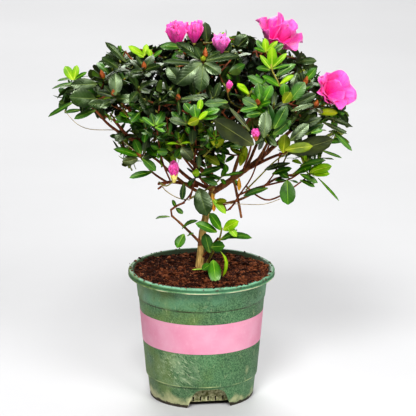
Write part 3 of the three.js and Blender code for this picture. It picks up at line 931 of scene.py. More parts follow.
@dataclass
class NurseryPot:
    """The moulded pot: radii are of its outside, heights are above the ground."""

    rim_radius: float = 82.5
    height: float = 147.3
    lip_height: float = 6.6
    rim_width: float = 5.5
    collar_top_radius: float = 74.0
    collar_foot_radius: float = 71.9
    collar_height: float = 117.4
    collar_step: float = 0.9
    ridge_radius: float = 63.0
    ridge_height: float = 26.0
    ridge_step: float = 1.8
    foot_radius: float = 58.5
    wall: float = 2.0
    floor_height: float = 5.0
    fill_height: float = 40.0
    sides: int = 144
    arch_count: int = 3
    arch_bearing: float = -81.0
    arch_foot: float = 50.0
    arch_top: float = 32.0
    arch_height: float = 23.0
    arch_round: float = 8.0
    arch_back: float = 47.0
    slot_count: int = 5
    slot_spacing: float = 8.4
    slot_width: float = 1.6
    slot_foot: float = 5.6
    slot_height: float = 5.2
    band_foot: float = 66.4
    band_top: float = 101.4
    band_thickness: float = 0.22

    @property
    def lip_foot(self) -> float:
        """The height of the lip's lower edge."""
        return self.height - self.lip_height

    def belly_radius(self, height: float) -> float:
        """The wall's outer radius between the ridge and the collar."""
        share = (height - self.ridge_height) / (self.collar_height - self.ridge_height)
        return lerp(self.ridge_radius, self.collar_foot_radius - self.collar_step, share)

    def outline(self) -> list[Pair]:
        """Rings from the foot up the outside, over the rolled rim and down the inside to the fill.

        Returns:
            Radius and height of each ring.
        """
        lip, rim, top = self.lip_foot, self.rim_radius, self.height
        mouth = rim - self.rim_width
        ridge, collar = self.ridge_height, self.collar_height
        inner = self.collar_top_radius - self.wall
        fill = self.belly_radius(self.fill_height) - self.wall
        foot = [(self.foot_radius - 0.5, 0.0), (self.foot_radius, 0.7),
                (self.ridge_radius - self.ridge_step, ridge - 1.2), (self.ridge_radius - 0.3, ridge - 0.5),
                (self.ridge_radius, ridge + 0.3)]
        belly = [(self.belly_radius(height), height) for height in (60.0, 90.0, collar - 1.4)]
        neck = [(self.collar_foot_radius - 0.25, collar - 0.4), (self.collar_foot_radius, collar + 0.2),
                (self.collar_top_radius - 0.1, lip - 3.0), (self.collar_top_radius + 1.2, lip - 0.6)]
        lip_roll = [(rim - 2.2, lip - 0.2), (rim - 0.6, lip), (rim, lip + 0.6), (rim - 0.1, lip + 1.5),
                    (rim - 0.7, lip + 2.0), (rim - 0.7, lip + 2.4), (rim - 0.2, lip + 2.9),
                    (rim - 0.1, top - 2.0), (rim - 0.7, top - 0.8), (rim - 1.8, top - 0.1), (rim - 2.8, top)]
        inside = [(mouth + 0.9, top - 0.1), (mouth, top - 0.8), (inner + 1.2, lip + 1.6), (inner, lip),
                  (fill, self.fill_height)]
        return foot + belly + neck + lip_roll + inside

    def build(self) -> None:
        """Models the pot and its band, and dresses both."""
        green = PotFinish(self.height, self.lip_foot, self.rim_radius, self.rim_radius - self.rim_width,
                          self.collar_height, self.ridge_height).material()
        # Khaki grime for the wall behind each arch, made lighter as painted light on a wall that lies in
        # shade.
        grime_and_painted_light = PlainFinish("pot_grime_and_painted_light", (104, 108, 62), (216, 214, 172), 330, 0.85, 0.5).material()
        # Dark brown painted shade for the hollow under the floor, the drain slots and the arch's cut edges.
        shade = PlainFinish("pot_painted_shade", (34, 24, 14), (74, 56, 32), 200, 0.9, 0.3).material()
        shell = turn_profile("pot_shell", self.outline(), self.sides)
        shell.data.materials.append(green)
        hollow = self.foot_radius - self.wall
        underside = turn_profile("underside", ((hollow, -1.0), (hollow + 0.6, self.floor_height)), self.sides)
        underside.data.materials.append(shade)
        carve(shell, underside)
        for index in range(self.arch_count):
            bearing = math.radians(self.arch_bearing + index * 360 / self.arch_count)
            self._carve_arch(shell, bearing, grime_and_painted_light, shade)
        smooth(shell, 32)
        settle(shell, ["pot"])
        settle(self._band())

    def _carve_arch(self, shell: Object, bearing: float, finish: Material, shade: Material) -> None:
        """Cuts one arch and the drain slots behind it out of the foot.

        Args:
            shell: The pot.
            bearing: Where the arch stands, in radians from +X towards +Y.
            finish: What the wall behind the arch looks like: khaki grime made lighter as painted light.
            shade: What the arch's edge and the slots look like: dark brown painted shade.
        """
        depth = self.rim_radius - self.arch_back
        arch = self._block((self.arch_foot, depth, self.arch_height + 1),
                           (0, self.arch_back + depth / 2, self.arch_height / 2 - 0.5))
        edit("FACE")
        bpy.ops.mesh.select_all(action="DESELECT")
        leave_edit()
        for face in arch.data.polygons:
            face.select = face.normal.z > 0.5
        edit("FACE")
        bpy.ops.transform.resize(value=(self.arch_top / self.arch_foot, 1, 1), center_override=(0, 0, 0))
        leave_edit()
        top = (self.arch_height - 0.01) * MM
        for edge in arch.data.edges:
            ends = [arch.data.vertices[index].co for index in edge.vertices]
            edge.select = all(end.z > top for end in ends) and abs(ends[0].x - ends[1].x) < MM
        edit("EDGE")
        bpy.ops.mesh.bevel(offset=self.arch_round * MM, segments=6, affect="EDGES")
        leave_edit()
        for face in arch.data.polygons:
            face.material_index = 0 if face.normal.y < -0.5 else 1
        self._turn_and_carve(shell, arch, bearing, finish, shade)
        for index in range(self.slot_count):
            offset = (index - (self.slot_count - 1) / 2) * self.slot_spacing
            slot = self._block((self.slot_width, self.wall * 3, self.slot_height),
                               (offset, self.arch_back, self.slot_foot + self.slot_height / 2))
            self._turn_and_carve(shell, slot, bearing, shade)

    @staticmethod
    def _block(size: Point, middle: Point) -> Object:
        """A block of a size in millimetres about a middle, as a cutter.

        Args:
            size: Its size along each axis.
            middle: Its middle.

        Returns:
            The block.
        """
        deselect()
        bpy.ops.mesh.primitive_cube_add(size=1, location=[value * MM for value in middle])
        block = bpy.context.active_object
        block.scale = [value * MM for value in size]
        fix_in_place()
        return block

    @staticmethod
    def _turn_and_carve(shell: Object, cutter: Object, bearing: float, *finishes: Material) -> None:
        """Turns a cutter that stands on the +Y side to a bearing and cuts it out of the pot.

        Args:
            shell: The pot.
            cutter: The solid to cut out.
            bearing: Where it goes, in radians from +X towards +Y.
            finishes: The materials that its faces count.
        """
        pick(cutter)
        for finish in finishes:
            cutter.data.materials.append(finish)
        cutter.rotation_euler = (0, 0, bearing - math.pi / 2)
        fix_in_place()
        carve(shell, cutter)

    def _band(self) -> Object:
        """The printed band, a thin sleeve round the belly.

        Returns:
            The band.
        """
        deselect()
        middle = (self.band_foot + self.band_top) / 2
        low, high = self.belly_radius(self.band_foot), self.belly_radius(self.band_top)
        bpy.ops.mesh.primitive_cone_add(vertices=self.sides, radius1=low * MM, radius2=high * MM,
                                        depth=(self.band_top - self.band_foot) * MM, end_fill_type="NOTHING",
                                        location=(0, 0, middle * MM))
        band = bpy.context.active_object
        band.name = "pot_band"
        fix_in_place()
        film = band.modifiers.new("film", "SOLIDIFY")
        film.thickness = self.band_thickness * MM
        film.offset = 1.0
        apply_all(band)
        band.data.materials.append(BandFinish(self.band_foot, self.band_top).material())
        smooth(band)
        return band


class Crumb(Enum):
    """The tones of loose crumbs, as dark and light colours. Each makes one piece."""

    CRUMBS = ((16, 6, 3), (64, 32, 18))
    RUSSET = ((74, 36, 18), (138, 84, 54))
    FLECKS = ((130, 92, 60), (196, 152, 112))


@dataclass
class Peat:
    """The crumbly peat that fills the pot, with loose crumbs and tan flecks on it and on the rim."""

    edge_radius: float = 75.6
    height: float = 145.0
    back_drop: float = 4.0
    plug: tuple[Pair, ...] = ((71.4, 139.6), (66.0, 90.0))
    rings: int = 52
    sides: int = 160
    lumps: float = 3.3
    crumbs: int = 6500
    clod_share: float = 0.035
    fleck_share: float = 0.03
    rim_crumbs: int = 150
    rim_height: float = 147.3
    rim_radius: float = 79.4
    heap_share: float = 0.55
    heap_bearing: float = -44.0
    seed: int = 41

    def surface(self, across: float, deep: float) -> float:
        """The height of the peat at a place, with its lumps.

        Args:
            across: The place along X.
            deep: The place along Y.

        Returns:
            The height.
        """
        base = self.height - self.back_drop * max(0.0, deep / self.edge_radius - 0.35)
        coarse = noise.noise(Vector((across * 0.07, deep * 0.07, 3.1)))
        fine = noise.noise(Vector((across * 0.24, deep * 0.24, 7.7)))
        grit = noise.noise(Vector((across * 0.7, deep * 0.7, 1.9)))
        return base + self.lumps * (0.55 * coarse + 0.5 * fine + 0.28 * grit)

    def build(self) -> None:
        """Models the bed and its crumbs, and dresses them."""
        bed = self._bed()
        earth = PlainFinish("peat", (14, 5, 3), (86, 42, 22), 210, 0.95, 1.2, 0.1)
        bed.data.materials.append(earth.material())
        smooth(bed, 50)
        settle(bed, ["soil"])
        buffers = {tone: MeshBuffer() for tone in Crumb}
        source = np.random.default_rng(self.seed)
        for _ in range(self.crumbs):
            self._add_crumb(buffers, source)
        for index in range(self.rim_crumbs):
            self._add_rim_crumb(buffers[Crumb.RUSSET if index % 2 else Crumb.CRUMBS], source)
        for tone, buffer in buffers.items():
            name = f"peat_{tone.name.lower()}"
            finish = PlainFinish(name, *tone.value, 260, 0.95, 0.4, 0.15)
            settle(buffer.piece(name, [finish.material()], 70))

    def _bed(self) -> Object:
        """The bed of peat: a plug whose upper face is inset ring by ring and roughened.

        Returns:
            The bed.
        """
        bed = turn_profile("peat_bed", [(self.edge_radius, self.height), *self.plug], self.sides)
        for face in bed.data.polygons:
            face.select = abs(face.center.z - self.height * MM) < MM
        edit("FACE")
        for _ in range(self.rings):
            bpy.ops.mesh.inset(thickness=self.edge_radius / (self.rings + 1) * MM)
        face_outward()
        for vertex in bed.data.vertices:
            if vertex.co.z > (self.height - 1) * MM:
                vertex.co.z = self.surface(vertex.co.x / MM, vertex.co.y / MM) * MM
        return bed

    def _add_crumb(self, buffers: dict[Crumb, MeshBuffer], source: Random) -> None:
        """Adds a crumb somewhere on the bed: mostly fine grit, a few clods, in patches of one tone, with more
        of the lighter russet towards the right as painted light.

        Args:
            buffers: Where crumbs of each tone go.
            source: Random numbers for its place, size and tone.
        """
        radius = self.edge_radius * math.sqrt(source.random()) * 0.99
        bearing = source.random() * FULL_TURN
        across, deep = radius * math.cos(bearing), radius * math.sin(bearing)
        clod = source.random() < self.clod_share
        girth = lerp(1.5, 3.0, source.random()) if clod else lerp(0.3, 1.35, source.random() ** 2.2)
        patch_and_painted_light = noise.noise(Vector((across * 0.11, deep * 0.11, 5.5))) + source.normal(0, 0.24)
        # More of the lighter russet crumbs towards the right: painted light, lifting that side out of the
        # crown's shadow.
        patch_and_painted_light += across * 0.004
        tone = Crumb.CRUMBS if patch_and_painted_light < 0.03 else Crumb.RUSSET
        if girth < 1.0 and source.random() < self.fleck_share:
            tone = Crumb.FLECKS
        middle = np.array([across, deep, self.surface(across, deep) + girth * 0.3])
        buffers[tone].add(*self._lump(middle, girth, source))

    def _add_rim_crumb(self, buffer: MeshBuffer, source: Random) -> None:
        """Adds a crumb on the rim, most of them at the front right and a few anywhere.

        Args:
            buffer: Where it goes.
            source: Random numbers for its place and size.
        """
        if source.random() < self.heap_share:
            bearing = math.radians(source.normal(self.heap_bearing, 15))
        else:
            bearing = source.random() * FULL_TURN
        radius = self.rim_radius + source.normal(0, 1.3)
        girth = lerp(0.4, 1.4, source.random() ** 1.6)
        height = self.rim_height + girth * 0.4
        middle = np.array([radius * math.cos(bearing), radius * math.sin(bearing), height])
        buffer.add(*self._lump(middle, girth, source))

    @staticmethod
    def _lump(middle: Array, girth: float, source: Random) -> tuple[Array, Faces]:
        """A rough lump of twelve corners about a middle.

        Args:
            middle: Where it lies.
            girth: Its rough radius.
            source: Random numbers for its shape.

        Returns:
            Its vertices and faces.
        """
        golden = (1 + math.sqrt(5)) / 2
        corners = np.array([[-1, golden, 0], [1, golden, 0], [-1, -golden, 0], [1, -golden, 0],
                            [0, -1, golden], [0, 1, golden], [0, -1, -golden], [0, 1, -golden],
                            [golden, 0, -1], [golden, 0, 1], [-golden, 0, -1], [-golden, 0, 1]])
        faces = [(0, 11, 5), (0, 5, 1), (0, 1, 7), (0, 7, 10), (0, 10, 11), (1, 5, 9), (5, 11, 4),
                 (11, 10, 2), (10, 7, 6), (7, 1, 8), (3, 9, 4), (3, 4, 2), (3, 2, 6), (3, 6, 8), (3, 8, 9),
                 (4, 9, 5), (2, 4, 11), (6, 2, 10), (8, 6, 7), (9, 8, 1)]
        rough = corners / np.linalg.norm(corners[0]) * (0.55 + 0.9 * source.random((12, 1)))
        spin = source.random() * FULL_TURN
        cosine, sine = math.cos(spin), math.sin(spin)
        turn = np.array([[cosine, -sine, 0], [sine, cosine, 0], [0, 0, 1]])
        stretch = np.array([0.7 + 1.1 * source.random(), 0.6 + 0.5 * source.random(), 0.7])
        return middle + (rough * stretch) @ turn.T * girth, faces


# The limbs


@dataclass(frozen=True)
class Mass:
    """A leaf mass of the crown and the bough that carries it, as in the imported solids.

    The bough starts on the trunk or an earlier bough at a share of its length. The mass's middle is given by
    its bearing in degrees from +X towards +Y, its distance from the pot's axis and its height.
    """

    name: str
    bough: str
    parent: str
    share: float
    girth: Pair
    sag: float
    bearing: float
    distance: float
    height: float
    spread: float
    depth: float
    shoots: int
    entry: Optional[Point] = None
    leafy: bool = True

    @property
    def middle(self) -> Array:
        """The middle of the mass."""
        turn = math.radians(self.bearing)
        return np.array([math.cos(turn) * self.distance, math.sin(turn) * self.distance, self.height])

    @property
    def size(self) -> Array:
        """Half the mass's size along each axis."""
        return np.array([self.spread, self.spread, self.depth])

    def entry_from(self, start: Array) -> Array:
        """Where a bough from one point enters the mass.

        Args:
            start: The bough's first point.

        Returns:
            Its last point.
        """
        if self.entry:
            return np.array(self.entry, float)
        inward = start - self.middle
        return self.middle + inward * (Wood.ENTERS / float(np.linalg.norm(inward / self.size)))


MASSES = (
    Mass("top_middle", "leader", "trunk", 0.985, (7.0, 3.6), 4, 150, 10, 398, 44, 34, 5),
    Mass("right_end", "right_bough", "trunk", 0.96, (7.4, 4.0), 9, -4, 126, 330, 49, 46, 6),
    Mass("left_end", "left_bough", "leader", 0.1, (5.6, 3.4), -7, 181, 118, 352, 47, 36, 6),
    Mass("front_left", "front_bough", "leader", 0.3, (4.6, 3.0), 8, 251, 92, 345, 50, 40, 6),
    Mass("back_right", "back_bough", "leader", 0.22, (5.0, 3.0), 8, 69, 96, 348, 50, 40, 6),
    Mass("low_left", "left_low_bough", "trunk", 0.9, (4.2, 3.0), 10, 201, 68, 287, 46, 32, 5),
    Mass("low_right", "right_low_bough", "trunk", 0.8, (3.4, 2.6), 14, -14, 104, 262, 50, 32, 5),
    Mass("right_front", "right_front_bough", "right_bough", 0.55, (3.8, 2.8), 4, -38, 110, 340, 48, 40, 6),
    Mass("right_back", "right_back_bough", "right_bough", 0.4, (3.8, 2.8), 4, 37, 114, 348, 48, 40, 6),
    Mass("top_right", "top_right_bough", "right_bough", 0.22, (4.4, 3.0), 6, 3, 76, 389, 49, 36, 6),
    Mass("left_front", "left_front_bough", "left_bough", 0.5, (3.8, 2.8), 3, 217, 108, 352, 48, 38, 6),
    Mass("left_back", "left_back_bough", "left_bough", 0.4, (3.8, 2.8), 3, 144, 114, 353, 48, 38, 6),
    Mass("top_left", "top_left_bough", "left_bough", 0.28, (4.0, 2.8), 5, 178, 80, 390, 48, 34, 6),
    Mass("front_right", "front_right_bough", "front_bough", 0.4, (3.6, 2.6), 4, 292, 97, 343, 50, 40, 6),
    Mass("back_left", "back_left_bough", "back_bough", 0.4, (3.6, 2.6), 4, 110, 93, 351, 50, 40, 6),
    Mass("top_front", "top_front_bough", "leader", 0.66, (3.8, 2.8), 3, 276, 60, 389, 48, 34, 6),
    Mass("top_back", "top_back_bough", "leader", 0.56, (3.8, 2.8), 3, 86, 60, 391, 48, 34, 6),
    Mass("low_front", "low_front_bough", "front_bough", 0.22, (3.2, 2.6), 5, 261, 54, 292, 44, 34, 5),
    Mass("low_back", "low_back_bough", "back_bough", 0.2, (3.2, 2.6), 5, 72, 58, 297, 46, 34, 5),
    Mass("left_shoot", "left_shoot_stem", "trunk", 0.3, (3.4, 2.6), -2, 222, 25, 228, 26, 24, 2,
         entry=(-33, -8, 210), leafy=False),
    Mass("basal_sprig", "", "trunk", 0.1, (3.0, 2.4), 0, -20, 20, 184, 34, 34, 3, leafy=False),
)


@dataclass
class Wood:
    """Trunk, boughs and the cut stub, fused into one mesh with the bark's relief."""

    ENTERS = 0.72
    AGE = "bark_age"
    BOUGH_AGE = 0.12
    MARKS = 60

    foot: Point = (-2.0, 8.0, 144.2)
    middle: Point = (2.0, 7.0, 192.0)
    fork: Point = (13.0, 4.0, 238.0)
    foot_radius: float = 4.2
    fork_radius: float = 4.1
    flare: float = 1.5
    flare_share: float = 0.16
    sunk: float = 5.0
    stub_parent: str = "right_bough"
    stub_share: float = 0.25
    stub_tip: Point = (44.7, -6.0, 207.0)
    stub_girth: Pair = (3.4, 2.8)
    stub_sag: float = -3.0
    grain: float = 0.575
    relief: float = 0.42
    spines: dict[str, Spine] = field(default_factory=dict)
    girths: dict[str, Girth] = field(default_factory=dict)

    def trunk_radius(self, share: float) -> float:
        """The trunk's radius at a share of its length, wider towards its foot."""
        flare = max(0.0, 1 - share / self.flare_share) ** 2
        return lerp(self.foot_radius, self.fork_radius, share) + self.flare * flare

    def grow(self) -> None:
        """Works out the line and girth of every limb, in the same order as the solids."""
        foot = np.array(self.foot)
        stations = [foot, foot + UP * 4, np.array(self.middle), np.array(self.fork)]
        self.spines["trunk"] = Spine.through(stations)
        self.girths["trunk"] = self.trunk_radius
        for mass in MASSES:
            if mass.bough:
                start = self.spines[mass.parent].at(mass.share)
                self._add(mass.bough, Spine.bowed(start, mass.entry_from(start), mass.sag), mass.girth)
        start = self.spines[self.stub_parent].at(self.stub_share)
        self._add("dead_stub", Spine.bowed(start, np.array(self.stub_tip), self.stub_sag), self.stub_girth)

    def _add(self, name: str, spine: Spine, girth: Pair) -> None:
        """Keeps one limb, whose girth gives its first and last diameter."""
        self.spines[name] = spine
        self.girths[name] = lambda share: lerp(*girth, share) / 2

    def build(self) -> None:
        """Models the limbs as bevelled curves, fuses them and cuts the bark's relief into them."""
        tubes = [self._tube(name) for name in self.spines]
        deselect()
        for tube in tubes:
            tube.select_set(True)
        bpy.context.view_layer.objects.active = tubes[0]
        bpy.ops.object.join()
        wood = bpy.context.active_object
        wood.name = "wood"
        fuse = wood.modifiers.new("fuse", "REMESH")
        fuse.mode = "VOXEL"
        fuse.voxel_size = self.grain * MM
        ease = wood.modifiers.new("ease", "SMOOTH")
        ease.factor = 0.5
        ease.iterations = 5
        apply_all(wood)
        self._carve_bark(wood)
        wood.data.materials.append(BarkFinish().material())
        smooth(wood, 60)
        settle(wood, self.spines)

    def _tube(self, name: str) -> Object:
        """One limb as a round bevelled curve, made a mesh.

        Args:
            name: The limb's name.

        Returns:
            The mesh.
        """
        spine, girth = self.spines[name], self.girths[name]
        deselect()
        bpy.ops.curve.primitive_nurbs_path_add()
        curve = bpy.context.active_object
        curve.data.splines.clear()
        line = curve.data.splines.new("POLY")
        shares = np.linspace(0, 1, Spine.STEPS + 1)
        line.points.add(len(shares) - 1)
        for point, share in zip(line.points, shares):
            place = spine.at(share) * MM
            if name == "trunk" and share == 0:
                place[2] -= self.sunk * MM
            point.co = (*place, 1)
            point.radius = girth(share) * MM
        curve.data.dimensions = "3D"
        curve.data.bevel_depth = 1.0
        curve.data.bevel_resolution = 4
        curve.data.use_fill_caps = True
        bpy.ops.object.convert(target="MESH")
        tube = bpy.context.active_object
        tube.location = (0, 0, 0)
        return tube

    def _carve_bark(self, wood: Object) -> None:
        """Moves each point of the wood in or out by the bark's fibres and knots, and notes the wood's age.

        Args:
            wood: The fused limbs.
        """
        marks = [(name, share) for name in self.spines for share in np.linspace(0, 1, self.MARKS)]
        tree = KDTree(len(marks))
        for index, (name, share) in enumerate(marks):
            tree.insert(self.spines[name].at(share) * MM, index)
        tree.balance()
        ages = np.zeros(len(wood.data.vertices), np.float32)
        moves = []
        for vertex in wood.data.vertices:
            _, index, _ = tree.find(vertex.co)
            name, share = marks[index]
            radius = self.girths[name](share)
            place = vertex.co / MM
            fibre = noise.noise(Vector((place.x * 0.75, place.y * 0.75, place.z * 0.13)))
            plate = noise.noise(Vector((place.x * 0.3, place.y * 0.3, place.z * 0.09 + 5)))
            knot = noise.noise(Vector((place.x * 0.16, place.y * 0.16, place.z * 0.16 + 9)))
            depth = self.relief * min(1.0, radius / 4.5)
            moves.append(vertex.normal * ((fibre + 0.6 * plate) * depth + knot * 0.12 * radius) * MM)
            old = min(1.0, max(0.0, (radius - 2.2) / 2.0))
            ages[vertex.index] = old if name == "trunk" else self.BOUGH_AGE
        for vertex, move in zip(wood.data.vertices, moves):
            vertex.co += move
        wood.data.attributes.new(self.AGE, "FLOAT", "POINT").data.foreach_set("value", ages)


# Leaves, twigs and buds


class Blade:
    """A leaf's mesh: folded along a pale midrib, arched, thin and closed, in the leaf's own outline."""

    STATIONS = np.array([0.0, 0.1, 0.28, 0.48, 0.68, 0.86, 1.0])
    ACROSS = np.array([-1.0, -0.52, 0.0, 0.0, 0.52, 1.0])
    WIDEST = 0.55
    BLUNT = 0.62
    RIB = 0.42
    THICKNESS = 0.5
    STALK = 0.55
    WAVE = 0.12

    def __init__(self) -> None:
        """Works out the outline and the faces that every leaf shares."""
        lead = self.BLUNT * self.WIDEST / (1 - self.WIDEST)
        peak = self.WIDEST ** lead * (1 - self.WIDEST) ** self.BLUNT
        self.outline = self.STATIONS ** lead * (1 - self.STATIONS) ** self.BLUNT / peak
        self.faces, self.slots = self._weave()

    def _weave(self) -> tuple[Faces, list[int]]:
        """Joins the points of a leaf.

        Returns:
            Its faces and the finish of each: 0 for the upper side, 1 for the midrib, 2 for the underside.
        """
        row = len(self.ACROSS) + 1
        below = row - 1
        faces, slots = [], []
        for station in range(len(self.STATIONS) - 1):
            here, there = station * row, (station + 1) * row
            for strip in range(len(self.ACROSS) - 1):
                faces.append((here + strip, there + strip, there + strip + 1, here + strip + 1))
                slots.append(1 if strip == 2 else 0)
            faces.append((here + below, there + below, there, here))
            faces.append((here + below - 1, there + below - 1, there + below, here + below))
            slots.extend([2, 2])
        last = (len(self.STATIONS) - 1) * row
        faces.append(tuple(range(row)))
        faces.append((last + below,) + tuple(last + index for index in reversed(range(below))))
        slots.extend([2, 2])
        return faces, slots

    def add(self, buffer: MeshBuffer, foot: Array, way: Array, face: Array, length: float, width: float,
            arch: float, fold: float, twist: float) -> None:
        """Adds a leaf to a buffer.

        Args:
            buffer: Where it goes.
            foot: Where it grows from.
            way: The way from its foot to its tip.
            face: The way its upper side looks.
            length: Its length.
            width: Its width.
            arch: How far it bends down from foot to tip, in radians.
            fold: How steeply its halves rise from the midrib.
            twist: How far it turns about itself from foot to tip, in radians.
        """
        way = unit(way)
        side = unit(np.cross(face, way))
        up = np.cross(way, side)
        lean = arch * (0.5 - self.STATIONS)
        steps = np.diff(self.STATIONS)
        middle = (lean[1:] + lean[:-1]) / 2
        along = np.concatenate([[0.0], np.cumsum(np.cos(middle) * steps)]) * length
        rise = np.concatenate([[0.0], np.cumsum(np.sin(middle) * steps)]) * length
        half = np.maximum(self.outline * width / 2, self.STALK * (1 - 0.75 * self.STATIONS))
        rib = np.minimum(self.RIB * (1.2 - self.STATIONS), half * 0.45)
        offset = self.ACROSS[None, :] * half[:, None]
        offset[:, 2] = -rib
        offset[:, 3] = rib
        reach = np.abs(self.ACROSS)[None, :]
        wave = self.WAVE * np.sin(self.STATIONS * 8 + float(foot.sum()))[:, None] * reach ** 2
        lift = (fold * (reach - 0.8 * reach ** 3) + wave) * half[:, None]
        offset = np.concatenate([offset, np.zeros((len(half), 1))], axis=1)
        under = -self.THICKNESS * (1 - 0.6 * self.STATIONS)
        lift = np.concatenate([lift, under[:, None]], axis=1)
        turn = twist * (self.STATIONS - 0.3)[:, None]
        cosine, sine = np.cos(turn), np.sin(turn)
        offset, lift = offset * cosine - lift * sine, offset * sine + lift * cosine
        ahead = along[:, None] - lift * np.sin(lean)[:, None]
        high = rise[:, None] + lift * np.cos(lean)[:, None]
        points = foot + ahead[..., None] * way + offset[..., None] * side + high[..., None] * up
        across = np.concatenate([self.ACROSS / 2 + 0.5, [0.5]])
        places = np.stack(np.meshgrid(across, self.STATIONS), axis=-1)
        buffer.add(points.reshape(-1, 3), self.faces, self.slots, places.reshape(-1, 2))


class BudKind(Enum):
    """What sits in the heart of a spray, as its finish: nothing, a small growing tip, or a plump bud."""

    NONE = None
    TIP = PlainFinish("bud_tip", (96, 108, 40), (150, 150, 66), 300, 0.55, 0.2)
    RUSTY = PlainFinish("bud_rusty", (120, 56, 26), (196, 112, 58), 300, 0.5, 0.2)
    GREEN = PlainFinish("bud_green", (128, 148, 26), (190, 196, 52), 300, 0.5, 0.2)


@dataclass
class Spray:
    """A whorl of leaves round the tip of one shoot."""

    tip: Array
    axis: Array
    leaves: int
    length: float
    tone: Tone
    twig: Spine
    spread: float = 68.0
    slim: float = 0.42
    bud: BudKind = BudKind.TIP
    shows: bool = False
    bare: bool = False


@dataclass(frozen=True)
class FeatureSpray:
    """A spray that shows plainly: where it is seen, how deep it lies and the way it looks."""

    seen: Seen
    deep: float
    axis: Point
    leaves: int
    length: float
    tone: Tone
    spread: float
    slim: float = 0.42
    bud: BudKind = BudKind.NONE


FEATURES = tuple(FeatureSpray(*row) for row in (
    ((203, 60), -82, (0, -0.75, 0.66), 5, 24, Tone.DARK, 74, 0.44, BudKind.GREEN),
    ((144, 68), -58, (0, -0.45, 0.88), 9, 25, Tone.DARK, 66, 0.42, BudKind.RUSTY),
    ((114, 95), -84, (-0.1, -0.6, 0.8), 7, 24, Tone.DARK, 66, 0.42, BudKind.RUSTY),
    ((103, 78), -32, (-0.2, -0.3, 0.92), 7, 22, Tone.DARK, 66, 0.42, BudKind.RUSTY),
    ((120, 62), -20, (0, -0.3, 0.95), 7, 23, Tone.DARK, 60, 0.42, BudKind.TIP),
    ((80, 92), -30, (-0.5, -0.6, 0.6), 6, 20, Tone.DARK, 70),
    ((119, 54), -12, (0.1, -0.1, 1), 5, 16, Tone.FRESH, 36, 0.34),
    ((218, 37), 8, (0, -0.1, 1), 5, 13, Tone.YOUNG, 46, 0.44),
    ((110, 116), -64, (0, -0.4, 1), 5, 10, Tone.YOUNG, 40, 0.44),
    ((128, 117), -78, (0.1, -0.7, 0.7), 6, 16, Tone.FRESH, 64, 0.44),
    ((140, 109), -88, (0, -0.7, 0.7), 5, 17, Tone.DEEP, 66, 0.46),
    ((146, 128), -76, (0, -0.6, 0.8), 6, 15, Tone.DEEP, 66, 0.44),
    ((168, 132), -82, (0, -0.7, 0.7), 5, 14, Tone.DEEP, 66, 0.42),
    ((208, 138), -92, (0, -0.7, 0.7), 5, 15, Tone.DEEP, 60, 0.42),
    ((225, 160), -56, (0, -0.7, 0.7), 6, 15, Tone.FRESH, 64, 0.42),
    ((206, 164), -44, (0, -0.7, 0.7), 6, 16, Tone.DEEP, 66, 0.44),
    ((242, 152), -66, (0, -0.7, 0.6), 4, 18, Tone.OLIVE, 50, 0.4),
    ((172, 152), -58, (0, -0.7, 0.7), 5, 16, Tone.DARK, 66, 0.44),
    ((160, 148), -56, (-0.2, -0.7, 0.7), 4, 13, Tone.FRESH, 60, 0.44),
    ((222, 176), -34, (0.2, -0.7, 0.6), 5, 14, Tone.FRESH, 66, 0.42),
    ((186, 122), -96, (0, -0.7, 0.7), 6, 16, Tone.DEEP, 64, 0.42),
    ((258, 104), -104, (-0.1, -0.7, 0.7), 7, 22, Tone.FRESH, 66, 0.42, BudKind.RUSTY),
    ((258, 86), -80, (-0.1, -0.5, 0.8), 6, 19, Tone.FRESH, 60),
    ((297, 114), -84, (0.2, -0.6, 0.8), 7, 22, Tone.DARK, 62, 0.32, BudKind.TIP),
    ((305, 84), -62, (0.2, -0.4, 0.9), 6, 20, Tone.DARK, 60, 0.42, BudKind.RUSTY),
    ((316, 106), -72, (0.1, -0.6, 0.7), 5, 22, Tone.DARK, 66, 0.42, BudKind.RUSTY),
    ((313, 172), -27, (0.75, -0.3, 0.5), 8, 16, Tone.YOUNG, 56, 0.38),
    ((290, 176), -22, (0.2, -0.4, 0.85), 5, 15, Tone.FRESH, 64, 0.4),
    ((180, 140), -84, (0, -0.5, 0.85), 6, 14, Tone.YOUNG, 50, 0.32),
    ((216, 136), -90, (0, -0.4, 0.9), 5, 15, Tone.FRESH, 40, 0.34),
    ((140, 156), -37, (-0.3, -0.5, 0.8), 4, 14, Tone.FRESH, 60, 0.46, BudKind.RUSTY),
    ((196, 174), -34, (0.1, -0.6, 0.7), 6, 18, Tone.DEEP, 72, 0.42, BudKind.GREEN),
    ((178, 99), -98, (0, -0.7, 0.7), 7, 22, Tone.DARK, 66, 0.42, BudKind.RUSTY),
    ((186, 54), -44, (-0.1, -0.4, 0.9), 6, 20, Tone.DARK, 62, 0.42, BudKind.RUSTY),
    ((205, 57), -80, (0.05, -0.1, 1), 3, 12, Tone.DARK, 70, 0.42, BudKind.RUSTY),
    ((237, 46), -30, (0.1, -0.4, 0.9), 7, 22, Tone.DARK, 60),
))

